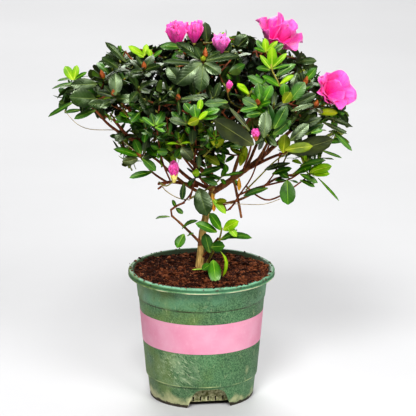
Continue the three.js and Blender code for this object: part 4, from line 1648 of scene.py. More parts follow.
# Where a plain spray fills a thin place of the crown, and how deep it lies
FILLERS: tuple[tuple[Seen, float], ...] = (
    ((154, 106), -44), ((170, 106), -50), ((178, 118), -54), ((194, 96), -52), ((214, 108), -60),
    ((236, 98), -60), ((278, 122), -56), ((296, 126), -46), ((312, 124), -36), ((304, 104), -44),
    ((134, 92), -40), ((148, 118), -40), ((228, 128), -70), ((186, 140), -40), ((212, 150), -40),
    ((100, 96), -30), ((264, 122), -64), ((160, 92), -30), ((134, 64), 45), ((157, 62), 45), ((201, 54), 45),
    ((228, 54), 45), ((255, 58), 45), ((148, 68), 20), ((175, 60), 20), ((201, 58), 20), ((228, 58), 20),
    ((251, 62), 20), ((134, 75), -5), ((161, 68), -5), ((210, 64), -5), ((237, 66), -5), ((264, 72), -5),
    ((255, 74), -20), ((278, 80), -20), ((120, 104), 4), ((160, 106), 4), ((200, 106), 4), ((240, 106), 4),
    ((288, 108), 4), ((190, 94), 44), ((216, 89), 24), ((249, 89), 24),
)


@dataclass(frozen=True)
class PlacedLeaf:
    """A single leaf that shows plainly, from where its foot is seen to where its tip is seen."""

    tone: Tone
    foot: Seen
    tip: Seen
    deep: Pair
    face: Point
    width: float
    arch: float = 0.3


PLACED_LEAVES = tuple(PlacedLeaf(tone, *row) for tone, rows in {
    Tone.DARK: (
        ((82, 88), (61, 86), (-30, -40), (0, -0.4, 0.9), 5, 0.5),
        ((96, 99), (69, 97), (-70, -78), (0.2, -0.97, 0.16), 20, 0.4),
        ((97, 84), (70, 85), (-56, -62), (0.1, -0.95, 0.24), 14, 0.6),
        ((110, 104), (88, 104), (-84, -90), (0.1, -0.95, 0.2), 11, 0.5),
        ((116, 96), (115, 73), (-90, -79), (0.06, -0.91, 0.4), 15),
        ((126, 62), (105, 42), (-20, -20), (0.3, -0.8, 0.6), 9),
        ((118, 68), (102, 58), (-28, -30), (0.2, -0.7, 0.7), 11, 0.5),
        ((202, 63), (176, 85), (-90, -98), (-0.1, -0.95, 0.22), 19, 0.5),
        ((204, 63), (221, 74), (-90, -96), (0.1, -0.8, 0.6), 14, 0.4),
        ((206, 61), (240, 56), (-86, -84), (0, -0.7, 0.7), 10, 0.5),
        ((201, 59), (176, 42), (-80, -72), (0.2, -0.8, 0.6), 12, 0.4),
        ((196, 65), (162, 62), (-84, -90), (0, -0.6, 0.8), 9, 0.5),
        ((203, 66), (200, 92), (-92, -100), (0.2, -0.96, 0.2), 17, 0.5),
        ((183, 86), (167, 65), (-92, -84), (-0.2, -0.9, 0.4), 15, 0.4),
        ((207, 42), (205, 22), (4, 6), (0.1, -0.95, 0.3), 12),
        ((236, 50), (246, 34), (-30, -26), (0, -0.88, 0.46), 15, 0.4),
        ((264, 138), (266, 111), (-126, -114), (0.02, -0.9, 0.42), 14),
        ((143, 158), (156, 152), (-44, -46), (0.1, -0.9, 0.4), 9, 0.4),
        ((296, 62), (317, 61), (-12, -14), (0.1, -0.7, 0.7), 10, 0.5),
        ((318, 114), (353, 127), (-30, -30), (0.1, -0.7, 0.7), 7, 0.2),
        ((322, 122), (347, 134), (-34, -36), (0.1, -0.7, 0.7), 6),
        ((290, 163), (264, 170), (-40, -46), (0, -0.8, 0.6), 7, 0.5),
        ((199, 188), (207, 216), (-23, -35), (-0.1, -0.94, 0.34), 21, 0.4),
        ((144, 153), (148, 136), (-42, -40), (0.2, -0.9, 0.4), 9),
        ((124, 133), (115, 141), (-46, -50), (-0.2, -0.9, 0.3), 10),
        ((290, 141), (309, 124), (-92, -88), (-0.1, -0.88, 0.45), 13),
        ((291, 111), (314, 104), (-88, -86), (0, -0.85, 0.5), 6),
        ((296, 104), (316, 94), (-80, -74), (0.2, -0.93, 0.2), 11),
        ((299, 127), (322, 118), (-70, -66), (0.1, -0.9, 0.3), 9, 0.4),
        ((187, 124), (169, 119), (-100, -104), (0, -0.87, 0.48), 9),
        ((181, 99), (207, 97), (-96, -100), (0, -0.87, 0.48), 7),
        ((201, 147), (208, 135), (-94, -92), (-0.1, -0.87, 0.48), 8),
        ((192, 144), (193, 129), (-88, -86), (0.1, -0.95, 0.2), 9),
        ((199, 168), (199, 155), (-72, -72), (0, -0.95, 0.3), 6),
    ),
    Tone.AGED: (
        ((254, 145), (213, 119), (-118, -141), (0.12, -0.98, 0.1), 21, 0.4),
        ((288, 152), (334, 139), (-72, -66), (0.2, -0.97, 0.1), 20, 0.5),
        ((138, 159), (122, 162), (-40, -44), (-0.2, -0.95, 0.2), 11, 0.4),
        ((250, 131), (229, 107), (-126, -120), (0.3, -0.93, 0.2), 5, 0.2),
        ((181, 147), (192, 159), (-78, -82), (0.2, -0.95, 0.2), 13, 0.4),
    ),
    Tone.DEEP: (
        ((76, 81), (56, 81), (-16, -22), (0, -0.5, 0.9), 5, 1.2),
        ((80, 84), (51, 89), (-20, -30), (0, -0.5, 0.9), 5, 0.8),
        ((74, 102), (48, 117), (-30, -36), (-0.2, -0.6, 0.8), 7),
        ((96, 110), (74, 119), (-60, -66), (-0.1, -0.7, 0.7), 9, 0.4),
        ((82, 110), (64, 113), (-36, -40), (0, -0.6, 0.8), 6, 0.5),
        ((290, 101), (305, 82), (-90, -86), (-0.1, -0.87, 0.48), 15),
        ((270, 52), (284, 44), (-38, -38), (0.1, -0.7, 0.7), 9, 0.5),
        ((276, 76), (296, 64), (-50, -48), (0.1, -0.7, 0.7), 9, 0.4),
        ((270, 70), (256, 68), (-48, -52), (0, -0.7, 0.7), 8, 0.5),
        ((270, 89), (247, 76), (-80, -82), (0, -0.8, 0.6), 11, 0.4),
        ((261, 101), (258, 83), (-98, -94), (-0.1, -0.95, 0.3), 11),
        ((155, 126), (151, 113), (-90, -88), (-0.1, -0.9, 0.4), 7),
        ((132, 122), (115, 117), (-72, -76), (0, -0.8, 0.6), 9, 0.4),
        ((140, 128), (152, 135), (-72, -76), (0, -0.8, 0.5), 10, 0.4),
        ((156, 136), (165, 141), (-66, -68), (0, -0.8, 0.5), 7, 0.4),
        ((230, 146), (243, 147), (-70, -72), (0, -0.8, 0.6), 7, 0.4),
        ((332, 130), (352, 151), (-30, -34), (0.2, -0.7, 0.7), 7, 0.2),
        ((326, 142), (345, 141), (-26, -30), (0, -0.6, 0.8), 8, 0.4),
        ((320, 150), (342, 158), (-24, -24), (0.1, -0.7, 0.7), 4, 0.2),
        ((300, 166), (326, 160), (-30, -34), (0, -0.7, 0.7), 8, 0.5),
        ((268, 188), (243, 196), (-28, -34), (0, -0.7, 0.7), 8, 0.5),
        ((211, 247), (225, 246), (-24, -34), (0.1, -0.9, 0.4), 13, 0.4),
        ((210, 253), (205, 233), (-22, -20), (-0.3, -0.9, 0.3), 13),
        ((221, 239), (254, 238), (-22, -26), (0, -0.6, 0.9), 10, 1.2),
        ((221, 240), (238, 232), (-22, -30), (0, -0.7, 0.7), 8, 0.5),
        ((184, 183), (182, 200), (-14, -22), (-0.1, -0.95, 0.3), 7),
        ((170, 217), (155, 219), (-9, -12), (0, -0.4, 1), 5, 0.9),
        ((182, 229), (199, 220), (-6, -12), (0, -0.6, 0.9), 6, 1.3),
        ((187, 236), (194, 233), (-2, -6), (0, -0.6, 0.9), 3.5, 0.5),
        ((176, 208), (183, 214), (-9, -15), (0, -0.7, 0.7), 6, 0.5),
        ((272, 129), (267, 103), (-104, -98), (-0.1, -0.95, 0.3), 12),
        ((274, 129), (287, 105), (-106, -100), (0.2, -0.92, 0.3), 13),
        ((273, 135), (291, 120), (-100, -96), (0.2, -0.93, 0.25), 12),
        ((305, 135), (324, 124), (-60, -58), (0.1, -0.9, 0.3), 8, 0.4),
        ((184, 122), (171, 112), (-98, -100), (0, -0.8, 0.6), 8),
        ((228, 102), (204, 104), (-100, -108), (0, -0.9, 0.3), 10),
        ((257, 106), (242, 99), (-110, -112), (-0.12, -0.86, 0.5), 11),
        ((261, 113), (246, 116), (-112, -118), (0, -0.8, 0.6), 9, 0.4),
        ((201, 174), (222, 167), (-50, -54), (0, -0.8, 0.6), 7, 0.4),
        ((201, 178), (218, 185), (-36, -40), (0, -0.8, 0.6), 8, 0.4),
    ),
    Tone.FRESH: (
        ((74, 80), (87, 72), (-26, -28), (0.1, -0.8, 0.6), 5, 0.4),
        ((152, 58), (162, 50), (-24, -24), (0.1, -0.85, 0.5), 5, 0.4),
        ((265, 51), (256, 40), (-36, -34), (-0.2, -0.8, 0.6), 7, 0.5),
        ((265, 52), (254, 48), (-36, -40), (0, -0.7, 0.7), 6, 0.5),
        ((273, 69), (290, 65), (-48, -50), (0, -0.7, 0.7), 5, 0.5),
        ((285, 98), (284, 83), (-70, -68), (0, -0.95, 0.35), 11),
        ((279, 86), (262, 76), (-66, -70), (0, -0.7, 0.7), 9, 0.5),
        ((264, 101), (272, 85), (-98, -94), (0.2, -0.9, 0.4), 11),
        ((156, 125), (164, 111), (-92, -84), (-0.05, -0.87, 0.49), 11),
        ((154, 126), (142, 117), (-92, -92), (0, -0.8, 0.6), 6, 0.4),
        ((156, 127), (167, 123), (-92, -94), (0, -0.8, 0.6), 5, 0.4),
        ((155, 127), (165, 132), (-92, -96), (0, -0.8, 0.6), 5, 0.4),
        ((144, 122), (127, 113), (-84, -88), (0, -0.8, 0.6), 8, 0.4),
        ((157, 152), (168, 152), (-60, -62), (0, -0.9, 0.4), 9, 0.4),
        ((235, 180), (241, 188), (-20, -22), (0.1, -0.9, 0.4), 5, 0.4),
        ((306, 80), (316, 68), (-50, -48), (0.3, -0.8, 0.5), 9),
        ((272, 174), (292, 168), (-30, -36), (0, -0.8, 0.6), 8, 0.4),
        ((296, 173), (312, 166), (-30, -34), (0, -0.8, 0.6), 8, 0.4),
        ((300, 174), (318, 183), (-30, -34), (0.1, -0.8, 0.6), 7, 0.5),
        ((312, 172), (322, 160), (-30, -30), (0.2, -0.9, 0.4), 6),
        ((287, 180), (288, 205), (-30, -38), (0.1, -0.95, 0.3), 18),
        ((288, 178), (277, 170), (-26, -30), (0, -0.8, 0.6), 9, 0.4),
        ((318, 178), (339, 201), (-28, -30), (0.4, -0.6, 0.7), 4, 0.2),
        ((300, 180), (315, 187), (-28, -32), (0.1, -0.7, 0.7), 6, 0.5),
        ((138, 156), (113, 149), (-40, -44), (0, -0.7, 0.7), 9, 0.6),
        ((152, 172), (129, 178), (-26, -34), (0, -0.8, 0.6), 8, 0.6),
        ((141, 154), (134, 139), (-42, -40), (-0.2, -0.9, 0.4), 10),
        ((142, 158), (156, 171), (-42, -46), (0.1, -0.8, 0.6), 10, 0.4),
        ((213, 260), (216, 284), (-24, -46), (0, -0.7, 0.7), 15, 0.7),
        ((212, 264), (202, 270), (-20, -30), (0, -0.6, 0.8), 10, 0.5),
        ((217, 232), (195, 223), (-22, -28), (-0.1, -0.8, 0.6), 11, 0.6),
        ((221, 230), (209, 213), (-24, -28), (0.5, -0.8, 0.3), 12, 0.4),
        ((184, 234), (177, 248), (-2, -10), (-0.3, -0.9, 0.3), 12, 0.4),
        ((176, 207), (172, 200), (-9, -12), (0, -0.7, 0.7), 5, 0.4),
        ((311, 133), (323, 130), (-66, -66), (0, -0.8, 0.6), 6, 0.4),
        ((196, 119), (194, 104), (-110, -106), (0, -0.9, 0.4), 12),
        ((192, 113), (184, 103), (-108, -106), (-0.1, -0.87, 0.48), 9),
        ((203, 114), (220, 109), (-110, -112), (0, -0.8, 0.6), 9, 0.4),
        ((202, 119), (218, 116), (-108, -110), (0, -0.8, 0.6), 6, 0.4),
        ((258, 107), (240, 111), (-112, -116), (0, -0.8, 0.6), 8),
        ((224, 176), (244, 172), (-40, -44), (0, -0.8, 0.6), 4),
    ),
    Tone.YOUNG: (
        ((73, 80), (65, 66), (-26, -21), (-0.1, -0.9, 0.4), 10),
        ((74, 80), (77, 65), (-26, -22), (0.1, -0.9, 0.4), 8),
        ((144, 56), (128, 46), (-20, -24), (0, -0.85, 0.5), 8, 0.4),
        ((144, 56), (147, 44), (-20, -16), (0.1, -0.9, 0.4), 7),
        ((144, 57), (137, 54), (-22, -24), (0, -0.85, 0.5), 5),
        ((151, 58), (149, 49), (-24, -22), (0, -0.9, 0.4), 6),
        ((266, 52), (265, 38), (-36, -34), (0, -0.9, 0.4), 8),
        ((267, 51), (278, 41), (-36, -36), (0.2, -0.7, 0.7), 6, 0.5),
        ((272, 70), (272, 46), (-46, -44), (0, -0.95, 0.35), 11),
        ((271, 69), (260, 55), (-48, -46), (-0.2, -0.8, 0.6), 6, 0.4),
        ((273, 67), (287, 53), (-48, -46), (0.2, -0.8, 0.6), 6, 0.4),
        ((280, 84), (294, 75), (-66, -66), (0.1, -0.7, 0.7), 6, 0.5),
        ((310, 172), (332, 166), (-32, -36), (-0.05, -0.87, 0.49), 11, 0.4),
        ((312, 174), (330, 174), (-32, -38), (0, -0.7, 0.7), 9, 0.5),
        ((205, 269), (192, 270), (-24, -28), (0, -0.3, 1), 3),
        ((220, 251), (223, 280), (-27, -40), (0.8, -0.5, 0.2), 7, 1.7),
        ((223, 230), (239, 221), (-24, -32), (-0.2, -0.9, 0.5), 12, 0.6),
        ((228, 227), (237, 237), (-28, -34), (0.2, -0.9, 0.4), 8, 0.6),
        ((212, 198), (226, 214), (-18, -26), (0.1, -0.8, 0.5), 8, 0.5),
        ((199, 111), (201, 99), (-108, -106), (0.1, -0.9, 0.4), 7),
        ((198, 120), (208, 111), (-112, -112), (0.1, -0.8, 0.6), 6),
        ((192, 173), (200, 173), (-48, -48), (0, -0.98, 0.2), 8, 0.2),
    ),
    Tone.OLIVE: (
        ((283, 153), (285, 134), (-88, -84), (0.2, -0.95, 0.3), 14),
        ((285, 150), (313, 146), (-90, -92), (0, -0.9, 0.5), 12, 0.4),
        ((283, 103), (291, 92), (-96, -94), (0.2, -0.9, 0.4), 11),
        ((240, 166), (246, 146), (-66, -64), (0.1, -0.95, 0.3), 9),
        ((214, 146), (211, 128), (-84, -82), (-0.1, -0.95, 0.3), 8),
        ((216, 148), (224, 136), (-84, -84), (0.1, -0.9, 0.4), 8),
        ((204, 155), (220, 165), (-60, -64), (0, -0.8, 0.6), 9, 0.4),
        ((318, 112), (338, 113), (-56, -60), (0, -0.7, 0.7), 10, 0.4),
        ((214, 202), (227, 201), (-18, -26), (0, -0.8, 0.6), 7, 0.5),
        ((188, 124), (199, 119), (-114, -114), (0, -0.95, 0.3), 10, 0.2),
    ),
    Tone.FADED: (
        ((212, 193), (214, 212), (-16, -22), (0.1, -0.95, 0.3), 6, 0.6),
        ((239, 178), (239, 191), (-20, -24), (0.2, -0.95, 0.3), 4.5, 0.4),
    ),
}.items() for row in rows)


class Thread(Enum):
    """What a twig is made of, as its finish: live reddish wood, a green young stem or a dry tan strand."""

    BROWN = PlainFinish("twig_bark", (84, 40, 22), (152, 86, 48), 260, 0.7, 0.25)
    GREEN = PlainFinish("twig_green", (124, 118, 44), (166, 158, 70), 200, 0.6, 0.15)
    DRY = PlainFinish("twig_dry", (170, 148, 112), (206, 188, 152), 200, 0.8, 0.1)


@dataclass(frozen=True)
class BareTwig:
    """A bare twig that shows plainly, along the places where it is seen."""

    thread: Thread
    line: tuple[Seen, ...]
    deep: Pair
    radius: Pair


BARE_TWIGS = tuple(BareTwig(thread, *row) for thread, rows in {
    Thread.BROWN: (
        (((92, 107), (99, 114), (107, 123), (116, 130), (126, 136), (138, 143), (152, 149)),
         (-58, -30), (1.2, 2.1)),
        (((104, 116), (112, 119), (118, 126), (125, 134)), (-54, -46), (0.9, 1.1)),
        (((110, 113), (116, 121), (124, 131), (133, 139)), (-54, -44), (0.8, 1)),
        (((170, 180), (164, 166), (160, 150), (157, 130)), (-14, -70), (1, 0.8)),
        (((210, 200), (222, 201), (227, 211), (240, 194), (251, 178), (258, 160)), (0, -20), (1, 0.8)),
        (((236, 196), (256, 188), (276, 183), (290, 179), (305, 169), (313, 164)), (-12, -30), (1.2, 0.8)),
        (((246, 186), (256, 195), (267, 200), (280, 196), (298, 184), (312, 173)), (-18, -28), (1.1, 0.8)),
        (((228, 210), (234, 204), (240, 194)), (-12, -14), (1, 0.9)),
        (((183, 203), (190, 195), (194, 186)), (-12, -2), (1, 0.8)),
        (((250, 168), (270, 158), (290, 151), (306, 148)), (-2, -60), (1.9, 1)),
        (((262, 190), (276, 170), (280, 152)), (-20, -40), (0.9, 0.7)),
        (((244, 168), (250, 150), (252, 138)), (-6, -60), (1.3, 0.9)),
        (((262, 160), (268, 148), (272, 134)), (-8, -50), (1.2, 0.8)),
        (((198, 186), (172, 182), (158, 184)), (0, -12), (2.2, 1.5)),
        (((168, 183), (152, 172), (141, 158)), (-8, -38), (1.4, 0.9)),
        (((166, 183), (158, 189)), (-8, -14), (1.4, 1)),
        (((211, 189), (202, 180), (180, 152), (170, 128)), (3, -70), (1.6, 0.9)),
        (((203, 182), (194, 166), (196, 146), (194, 122)), (-2, -90), (1.4, 0.8)),
        (((178, 150), (176, 144), (180, 138)), (-50, -82), (0.9, 0.7)),
        (((212, 190), (190, 179), (168, 160), (146, 144), (126, 136)), (3, -44), (2.2, 1.3)),
    ),
    Thread.GREEN: (
        (((174, 181), (166, 186), (159, 182)), (-54, -18), (0.7, 0.8)),
        (((266, 52), (270, 60), (272, 70), (278, 82), (284, 98), (280, 112)), (-36, -70), (0.8, 1)),
        (((288, 152), (274, 162), (258, 178), (246, 190)), (-60, -16), (0.8, 0.9)),
        (((206, 265), (212, 254), (219, 240), (222, 228)), (4, -24), (1.6, 0.9)),
        (((218, 242), (228, 233), (237, 230)), (-20, -26), (0.9, 0.7)),
    ),
    Thread.DRY: (
        (((64, 110), (77, 124), (89, 129), (114, 130)), (-40, -40), (0.35, 0.45)),
        (((115, 129), (122, 140), (135, 151)), (-40, -42), (0.4, 0.35)),
        (((160, 183), (165, 190), (178, 198), (190, 200)), (-14, -10), (0.6, 0.6)),
        (((215, 203), (238, 204), (265, 204), (280, 199)), (-8, -26), (0.45, 0.4)),
    ),
}.items() for row in rows)


@dataclass
class Foliage:
    """Twigs, leaves and buds that grow on from the boughs by the rule of the solids, to finer twigs."""

    DEALT = (Tone.DARK, Tone.DEEP, Tone.FRESH, Tone.YOUNG, Tone.OLIVE)
    CHANCES = ((362, (0.70, 0.20, 0.06, 0.03, 0.01)), (325, (0.40, 0.28, 0.21, 0.07, 0.04)),
               (0, (0.06, 0.20, 0.38, 0.20, 0.16)))
    BUD_SHAPE = ((0.0, 0.45), (0.16, 0.85), (0.36, 1.0), (0.6, 0.78), (0.84, 0.36), (1.0, 0.05))
    BUD_SIDES = 7

    wood: Wood
    first_seed: int = 1000
    below: float = 0.42
    reach: float = 0.56
    play: float = 0.18
    pulls: int = 6
    pull_share: float = 0.15
    room: float = 6.0
    stem_fork: float = 0.6
    twig_sag: float = 0.06
    twig_radius: float = 1.15
    tip_radius: float = 0.7
    lift: float = 0.4
    side_shoots: int = 3
    side_length: Pair = (15.0, 27.0)
    side_share: float = 0.88
    leaf_length: float = 30.0
    small_share: float = 0.78
    low_height: float = 335.0
    low_share: float = 0.8
    rusty_share: float = 0.07
    # The crown's interior, from its heart and half size, where sprays get near-black leaves as painted shade.
    heart: Point = (3.0, 0.0, 335.0)
    half_size: Point = (165.0, 140.0, 95.0)
    inner_share: float = 0.72
    inner_height: float = 332.0
    feature_room: float = 14.0
    filler_leaves: int = 9
    filler_length: float = 24.0
    edge_slack: float = 3.0
    fewest_leaves: int = 3
    seed: int = 77
    sprays: list[Spray] = field(default_factory=list)
    stems: list[tuple[Spine, float, float]] = field(default_factory=list)
    forks: list[Array] = field(default_factory=list)
    fronts: list[tuple[float, float, float, float]] = field(default_factory=list)

    def __post_init__(self) -> None:
        """Gathers what every mass is measured against."""
        self.random = np.random.default_rng(self.seed)
        self.middles = np.array([mass.middle for mass in MASSES])
        self.weights = np.array([mass.spread for mass in MASSES])
        self.blade = Blade()

    def inside_by(self, point: Array, order: int) -> float:
        """How far a point lies inside the space of one mass, against its neighbours' spaces.

        Args:
            point: The point.
            order: The mass's place among the masses.

        Returns:
            The distance, below zero outside.
        """
        power = ((point - self.middles) ** 2).sum(axis=1) - self.weights ** 2
        apart = np.linalg.norm(self.middles - self.middles[order], axis=1)
        others = np.arange(len(MASSES)) != order
        return float(((power - power[order])[others] / (2 * apart[others])).min())

    def fork_near(self, tip: Array, ahead: float = 0.0, slack: float = 0.0) -> Array:
        """The fork that a twig to a tip grows from, by choice one that doesn't lie in front of it.

        Args:
            tip: The twig's tip.
            ahead: How much a fork is put back for lying in front of the tip.
            slack: How far behind the tip that starts to count.

        Returns:
            The fork.
        """
        return min(self.forks, key=lambda fork: gap(fork, tip) + ahead * max(0.0, tip[1] + slack - fork[1]))

    def grow(self) -> None:
        """Grows every mass, the sprays that show plainly and the fillers, and notes what stays in sight."""
        for order, mass in enumerate(MASSES):
            self._grow_mass(mass, order)
        self._grow_features()
        self._grow_fillers()
        for leaf in PLACED_LEAVES:
            for share in (0.1, 0.3, 0.5, 0.7, 0.9):
                spot = (lerp(first, last, share) for first, last in zip(leaf.foot, leaf.tip))
                self.fronts.append((*spot, lerp(*leaf.deep, share) - 2, max(3.0, leaf.width * 0.45)))
        for flower in FLOWERS:
            if not flower.behind:
                self.fronts.append((*SIGHT.seen(flower.heart), flower.deep, flower.reach))

    def _stem(self, mass: Mass) -> Spine:
        """The line of a mass's stem, from its bough's tip or the trunk to the middle of the mass.

        Args:
            mass: The mass.

        Returns:
            The line.
        """
        if not mass.bough:
            return Spine.bowed(self.wood.spines[mass.parent].at(mass.share), mass.middle, 0)
        bough = self.wood.spines[mass.bough]
        start = bough.at(1.0)
        return Spine.bent(start, start + bough.heading(1.0) * gap(mass.middle, start) / 2, mass.middle)

    def _grow_mass(self, mass: Mass, order: int) -> None:
        """Grows one mass: its stem, its shoots as in the solids and the finer twigs on them.

        Args:
            mass: The mass.
            order: Its place among the masses.
        """
        source = seeded(self.first_seed + order)
        stem = self._stem(mass)
        self.stems.append((stem, mass.girth[1] / 2, self.twig_radius))
        forks = [stem.at(self.stem_fork), mass.middle]
        for index in range(mass.shoots):
            rise = 1 - ((index + 0.5) / mass.shoots) * (1 + self.below)
            flat = math.sqrt(1 - rise * rise)
            angle = order + index * GOLDEN_ANGLE
            outward = np.array([math.cos(angle) * flat, math.sin(angle) * flat, rise])
            tip = mass.middle + mass.size * outward * (self.reach + self.play * source())
            for _ in range(self.pulls):
                if self.inside_by(tip, order) >= self.room:
                    break
                tip = tip + (mass.middle - tip) * self.pull_share
            start = min(forks, key=lambda fork: gap(fork, tip))
            twig = Spine.bowed(start, tip, gap(tip, start) * self.twig_sag)
            forks.append(twig.at(0.5))
            axis = unit(twig.heading(1.0) + outward + UP * self.lift)
            if mass.leafy:
                self._add_shoot(twig, axis, 1.0)
                self._add_side_shoots(twig, mass, order)
        self.forks.extend(forks)

    def _add_side_shoots(self, twig: Spine, mass: Mass, order: int) -> None:
        """Carries one shoot to finer twigs, which keep to the mass's space and reach.

        Args:
            twig: The shoot.
            mass: The mass that it belongs to.
            order: The mass's place among the masses.
        """
        along = twig.heading(1.0)
        side = square_to(along)
        start_turn = self.random.random() * FULL_TURN
        for index in range(self.side_shoots):
            out = turned(side, along, start_turn + index * GOLDEN_ANGLE)
            way = unit(along * 0.55 + out + UP * 0.35)
            start = twig.at(lerp(0.35, 0.85, (index + 0.5) / self.side_shoots))
            tip = start + way * lerp(*self.side_length, self.random.random())
            outside = float(np.linalg.norm((tip - mass.middle) / mass.size))
            if outside < 0.95 and self.inside_by(tip, order) > -4:
                self._add_shoot(Spine.bowed(start, tip, 1.5), unit(way + UP * 0.35), self.side_share)

    def _add_shoot(self, twig: Spine, axis: Array, share: float) -> None:
        """Keeps a twig and the spray at its tip.

        Args:
            twig: The twig's line.
            axis: The way that the spray looks.
            share: Its leaves' size against the largest.
        """
        tip = twig.at(1.0)
        tone = self._deal_tone(tip)
        length = self.leaf_length * share * lerp(0.86, 1.12, self.random.random())
        if tone in (Tone.PAINTED_SHADE, Tone.FRESH, Tone.YOUNG):
            length *= self.small_share
        if tip[2] < self.low_height:
            length *= self.low_share
        rusty = tone is Tone.DARK and self.random.random() < self.rusty_share
        leaves = 6 + int(self.random.integers(0, 4))
        bud = BudKind.RUSTY if rusty else BudKind.TIP
        self.sprays.append(Spray(tip, axis, leaves, length, tone, twig, bud=bud))

    def _deal_tone(self, tip: Array) -> Tone:
        """The tone of a spray, by its depth in the crown and its height; sprays deep inside get near-black
        leaves, painted shade.

        Args:
            tip: Where the spray sits.

        Returns:
            The tone.
        """
        # Sprays inside the crown, high up or behind, get near-black leaves: painted shade.
        inside = np.linalg.norm((tip - np.array(self.heart)) / np.array(self.half_size)) < self.inner_share
        if inside and (tip[2] > self.inner_height or tip[1] > 10):
            return Tone.PAINTED_SHADE
        chances = next(row for height, row in self.CHANCES if tip[2] > height)
        return self.DEALT[int(self.random.choice(len(self.DEALT), p=chances))]

    def _grow_features(self) -> None:
        """Adds the sprays that show plainly, in room made for them, each on its own twig."""
        hearts = np.array([SIGHT.place(feature.seen, feature.deep) for feature in FEATURES])
        self.sprays = [spray for spray in self.sprays if Outline.keeps(spray.tip, -self.edge_slack)
                       and np.linalg.norm(hearts - spray.tip, axis=1).min() > self.feature_room]
        for feature, tip in zip(FEATURES, hearts):
            axis = unit(np.array(feature.axis, float))
            start = self.fork_near(tip, 2, 12)
            twig = Spine.bent(start, tip - axis * gap(tip, start) * 0.45, tip)
            self.sprays.append(Spray(tip, axis, feature.leaves, feature.length, feature.tone, twig,
                                     feature.spread, feature.slim, feature.bud, shows=True))
            self.fronts.append((*feature.seen, feature.deep - 6, feature.length * 0.35 + 2))

    def _grow_fillers(self) -> None:
        """Adds the sprays that fill thin places, upright at the top and facing the viewer below, every other
        low one with near-black leaves as painted shade.
        """
        for index, (seen, deep) in enumerate(FILLERS):
            tip = SIGHT.place(seen, deep)
            high = deep > -25 and seen[1] < 90
            axis = unit(np.array([0.0, -0.1, 1.0] if high else [0.0, -0.7, 0.7]))
            # Every other low filler gets near-black leaves: painted shade in the crown's gaps.
            tone = Tone.DARK if high or index % 2 else Tone.PAINTED_SHADE
            twig = Spine.bowed(self.fork_near(tip), tip, 2.0)
            self.sprays.append(Spray(tip, axis, self.filler_leaves, self.filler_length, tone, twig))

    def _hides(self, point: Array) -> bool:
        """Whether a leaf at a place would hide a spray, leaf or flower that shows plainly."""
        fronts = np.array(self.fronts)
        away = np.hypot(*(fronts[:, :2] - SIGHT.seen(point)).T)
        return bool(np.any((point[1] < fronts[:, 2]) & (away < fronts[:, 3])))

    def build(self, blooms: "Blossom") -> None:
        """Makes the twigs, the leaves of each tone and the buds as joined pieces.

        Args:
            blooms: The flowers, which the leaves leave room for.
        """
        nodes = [f"foliage_{mass.name}" for mass in MASSES]
        buffers = {tone: MeshBuffer() for tone in Tone}
        buds = {kind: MeshBuffer() for kind in BudKind if kind.value}
        for spray in self.sprays:
            self._add_leaves(buffers[spray.tone], spray, blooms)
            if spray.bud.value:
                self._add_bud(buds[spray.bud], spray)
        for leaf in PLACED_LEAVES:
            foot, tip = SIGHT.place(leaf.foot, leaf.deep[0]), SIGHT.place(leaf.tip, leaf.deep[1])
            self.blade.add(buffers[leaf.tone], foot, tip - foot, np.array(leaf.face, float), gap(tip, foot),
                           leaf.width, leaf.arch, fold=0.25, twist=0.1)
        self._build_twigs(nodes)
        for tone, buffer in buffers.items():
            settle(buffer.piece(f"leaves_{tone.name.lower()}", tone.finishes()), nodes)
        for kind, buffer in buds.items():
            finishes = [kind.value.material(), BudKind.GREEN.value.material()]
            settle(buffer.piece(f"buds_{kind.name.lower()}", finishes))

    def _build_twigs(self, nodes: Sequence[str]) -> None:
        """Makes the twigs: red-brown ones, green ones under the young sprays, and dry strands.

        Args:
            nodes: Names of the solids that live twigs replace.
        """
        buffers = {thread: MeshBuffer() for thread in Thread}
        lines = [(spine, start, end, Thread.BROWN) for spine, start, end in self.stems]
        for spray in self.sprays:
            if not spray.bare:
                thread = Thread.GREEN if spray.tone in (Tone.FRESH, Tone.YOUNG) else Thread.BROWN
                lines.append((spray.twig, self.twig_radius, self.tip_radius, thread))
        for spine, start, end, thread in lines:
            steps = max(3, int(spine.length / 9))
            buffers[thread].add(*spine.tube(lambda share: lerp(start, end, share), 6, steps))
        for twig in BARE_TWIGS:
            shares = np.linspace(0, 1, len(twig.line))
            spine = Spine.through([SIGHT.place(seen, lerp(*twig.deep, share))
                                   for seen, share in zip(twig.line, shares)])
            self.forks.extend(spine.at(share) for share in (0.0, 0.5, 1.0))
            steps = max(6, int(spine.length / 5))
            buffers[twig.thread].add(*spine.tube(lambda share: lerp(*twig.radius, share), 7, steps))
        for thread, buffer in buffers.items():
            piece = buffer.piece(f"twigs_{thread.name.lower()}", [thread.value.material()])
            settle(piece, () if thread is Thread.DRY else nodes)

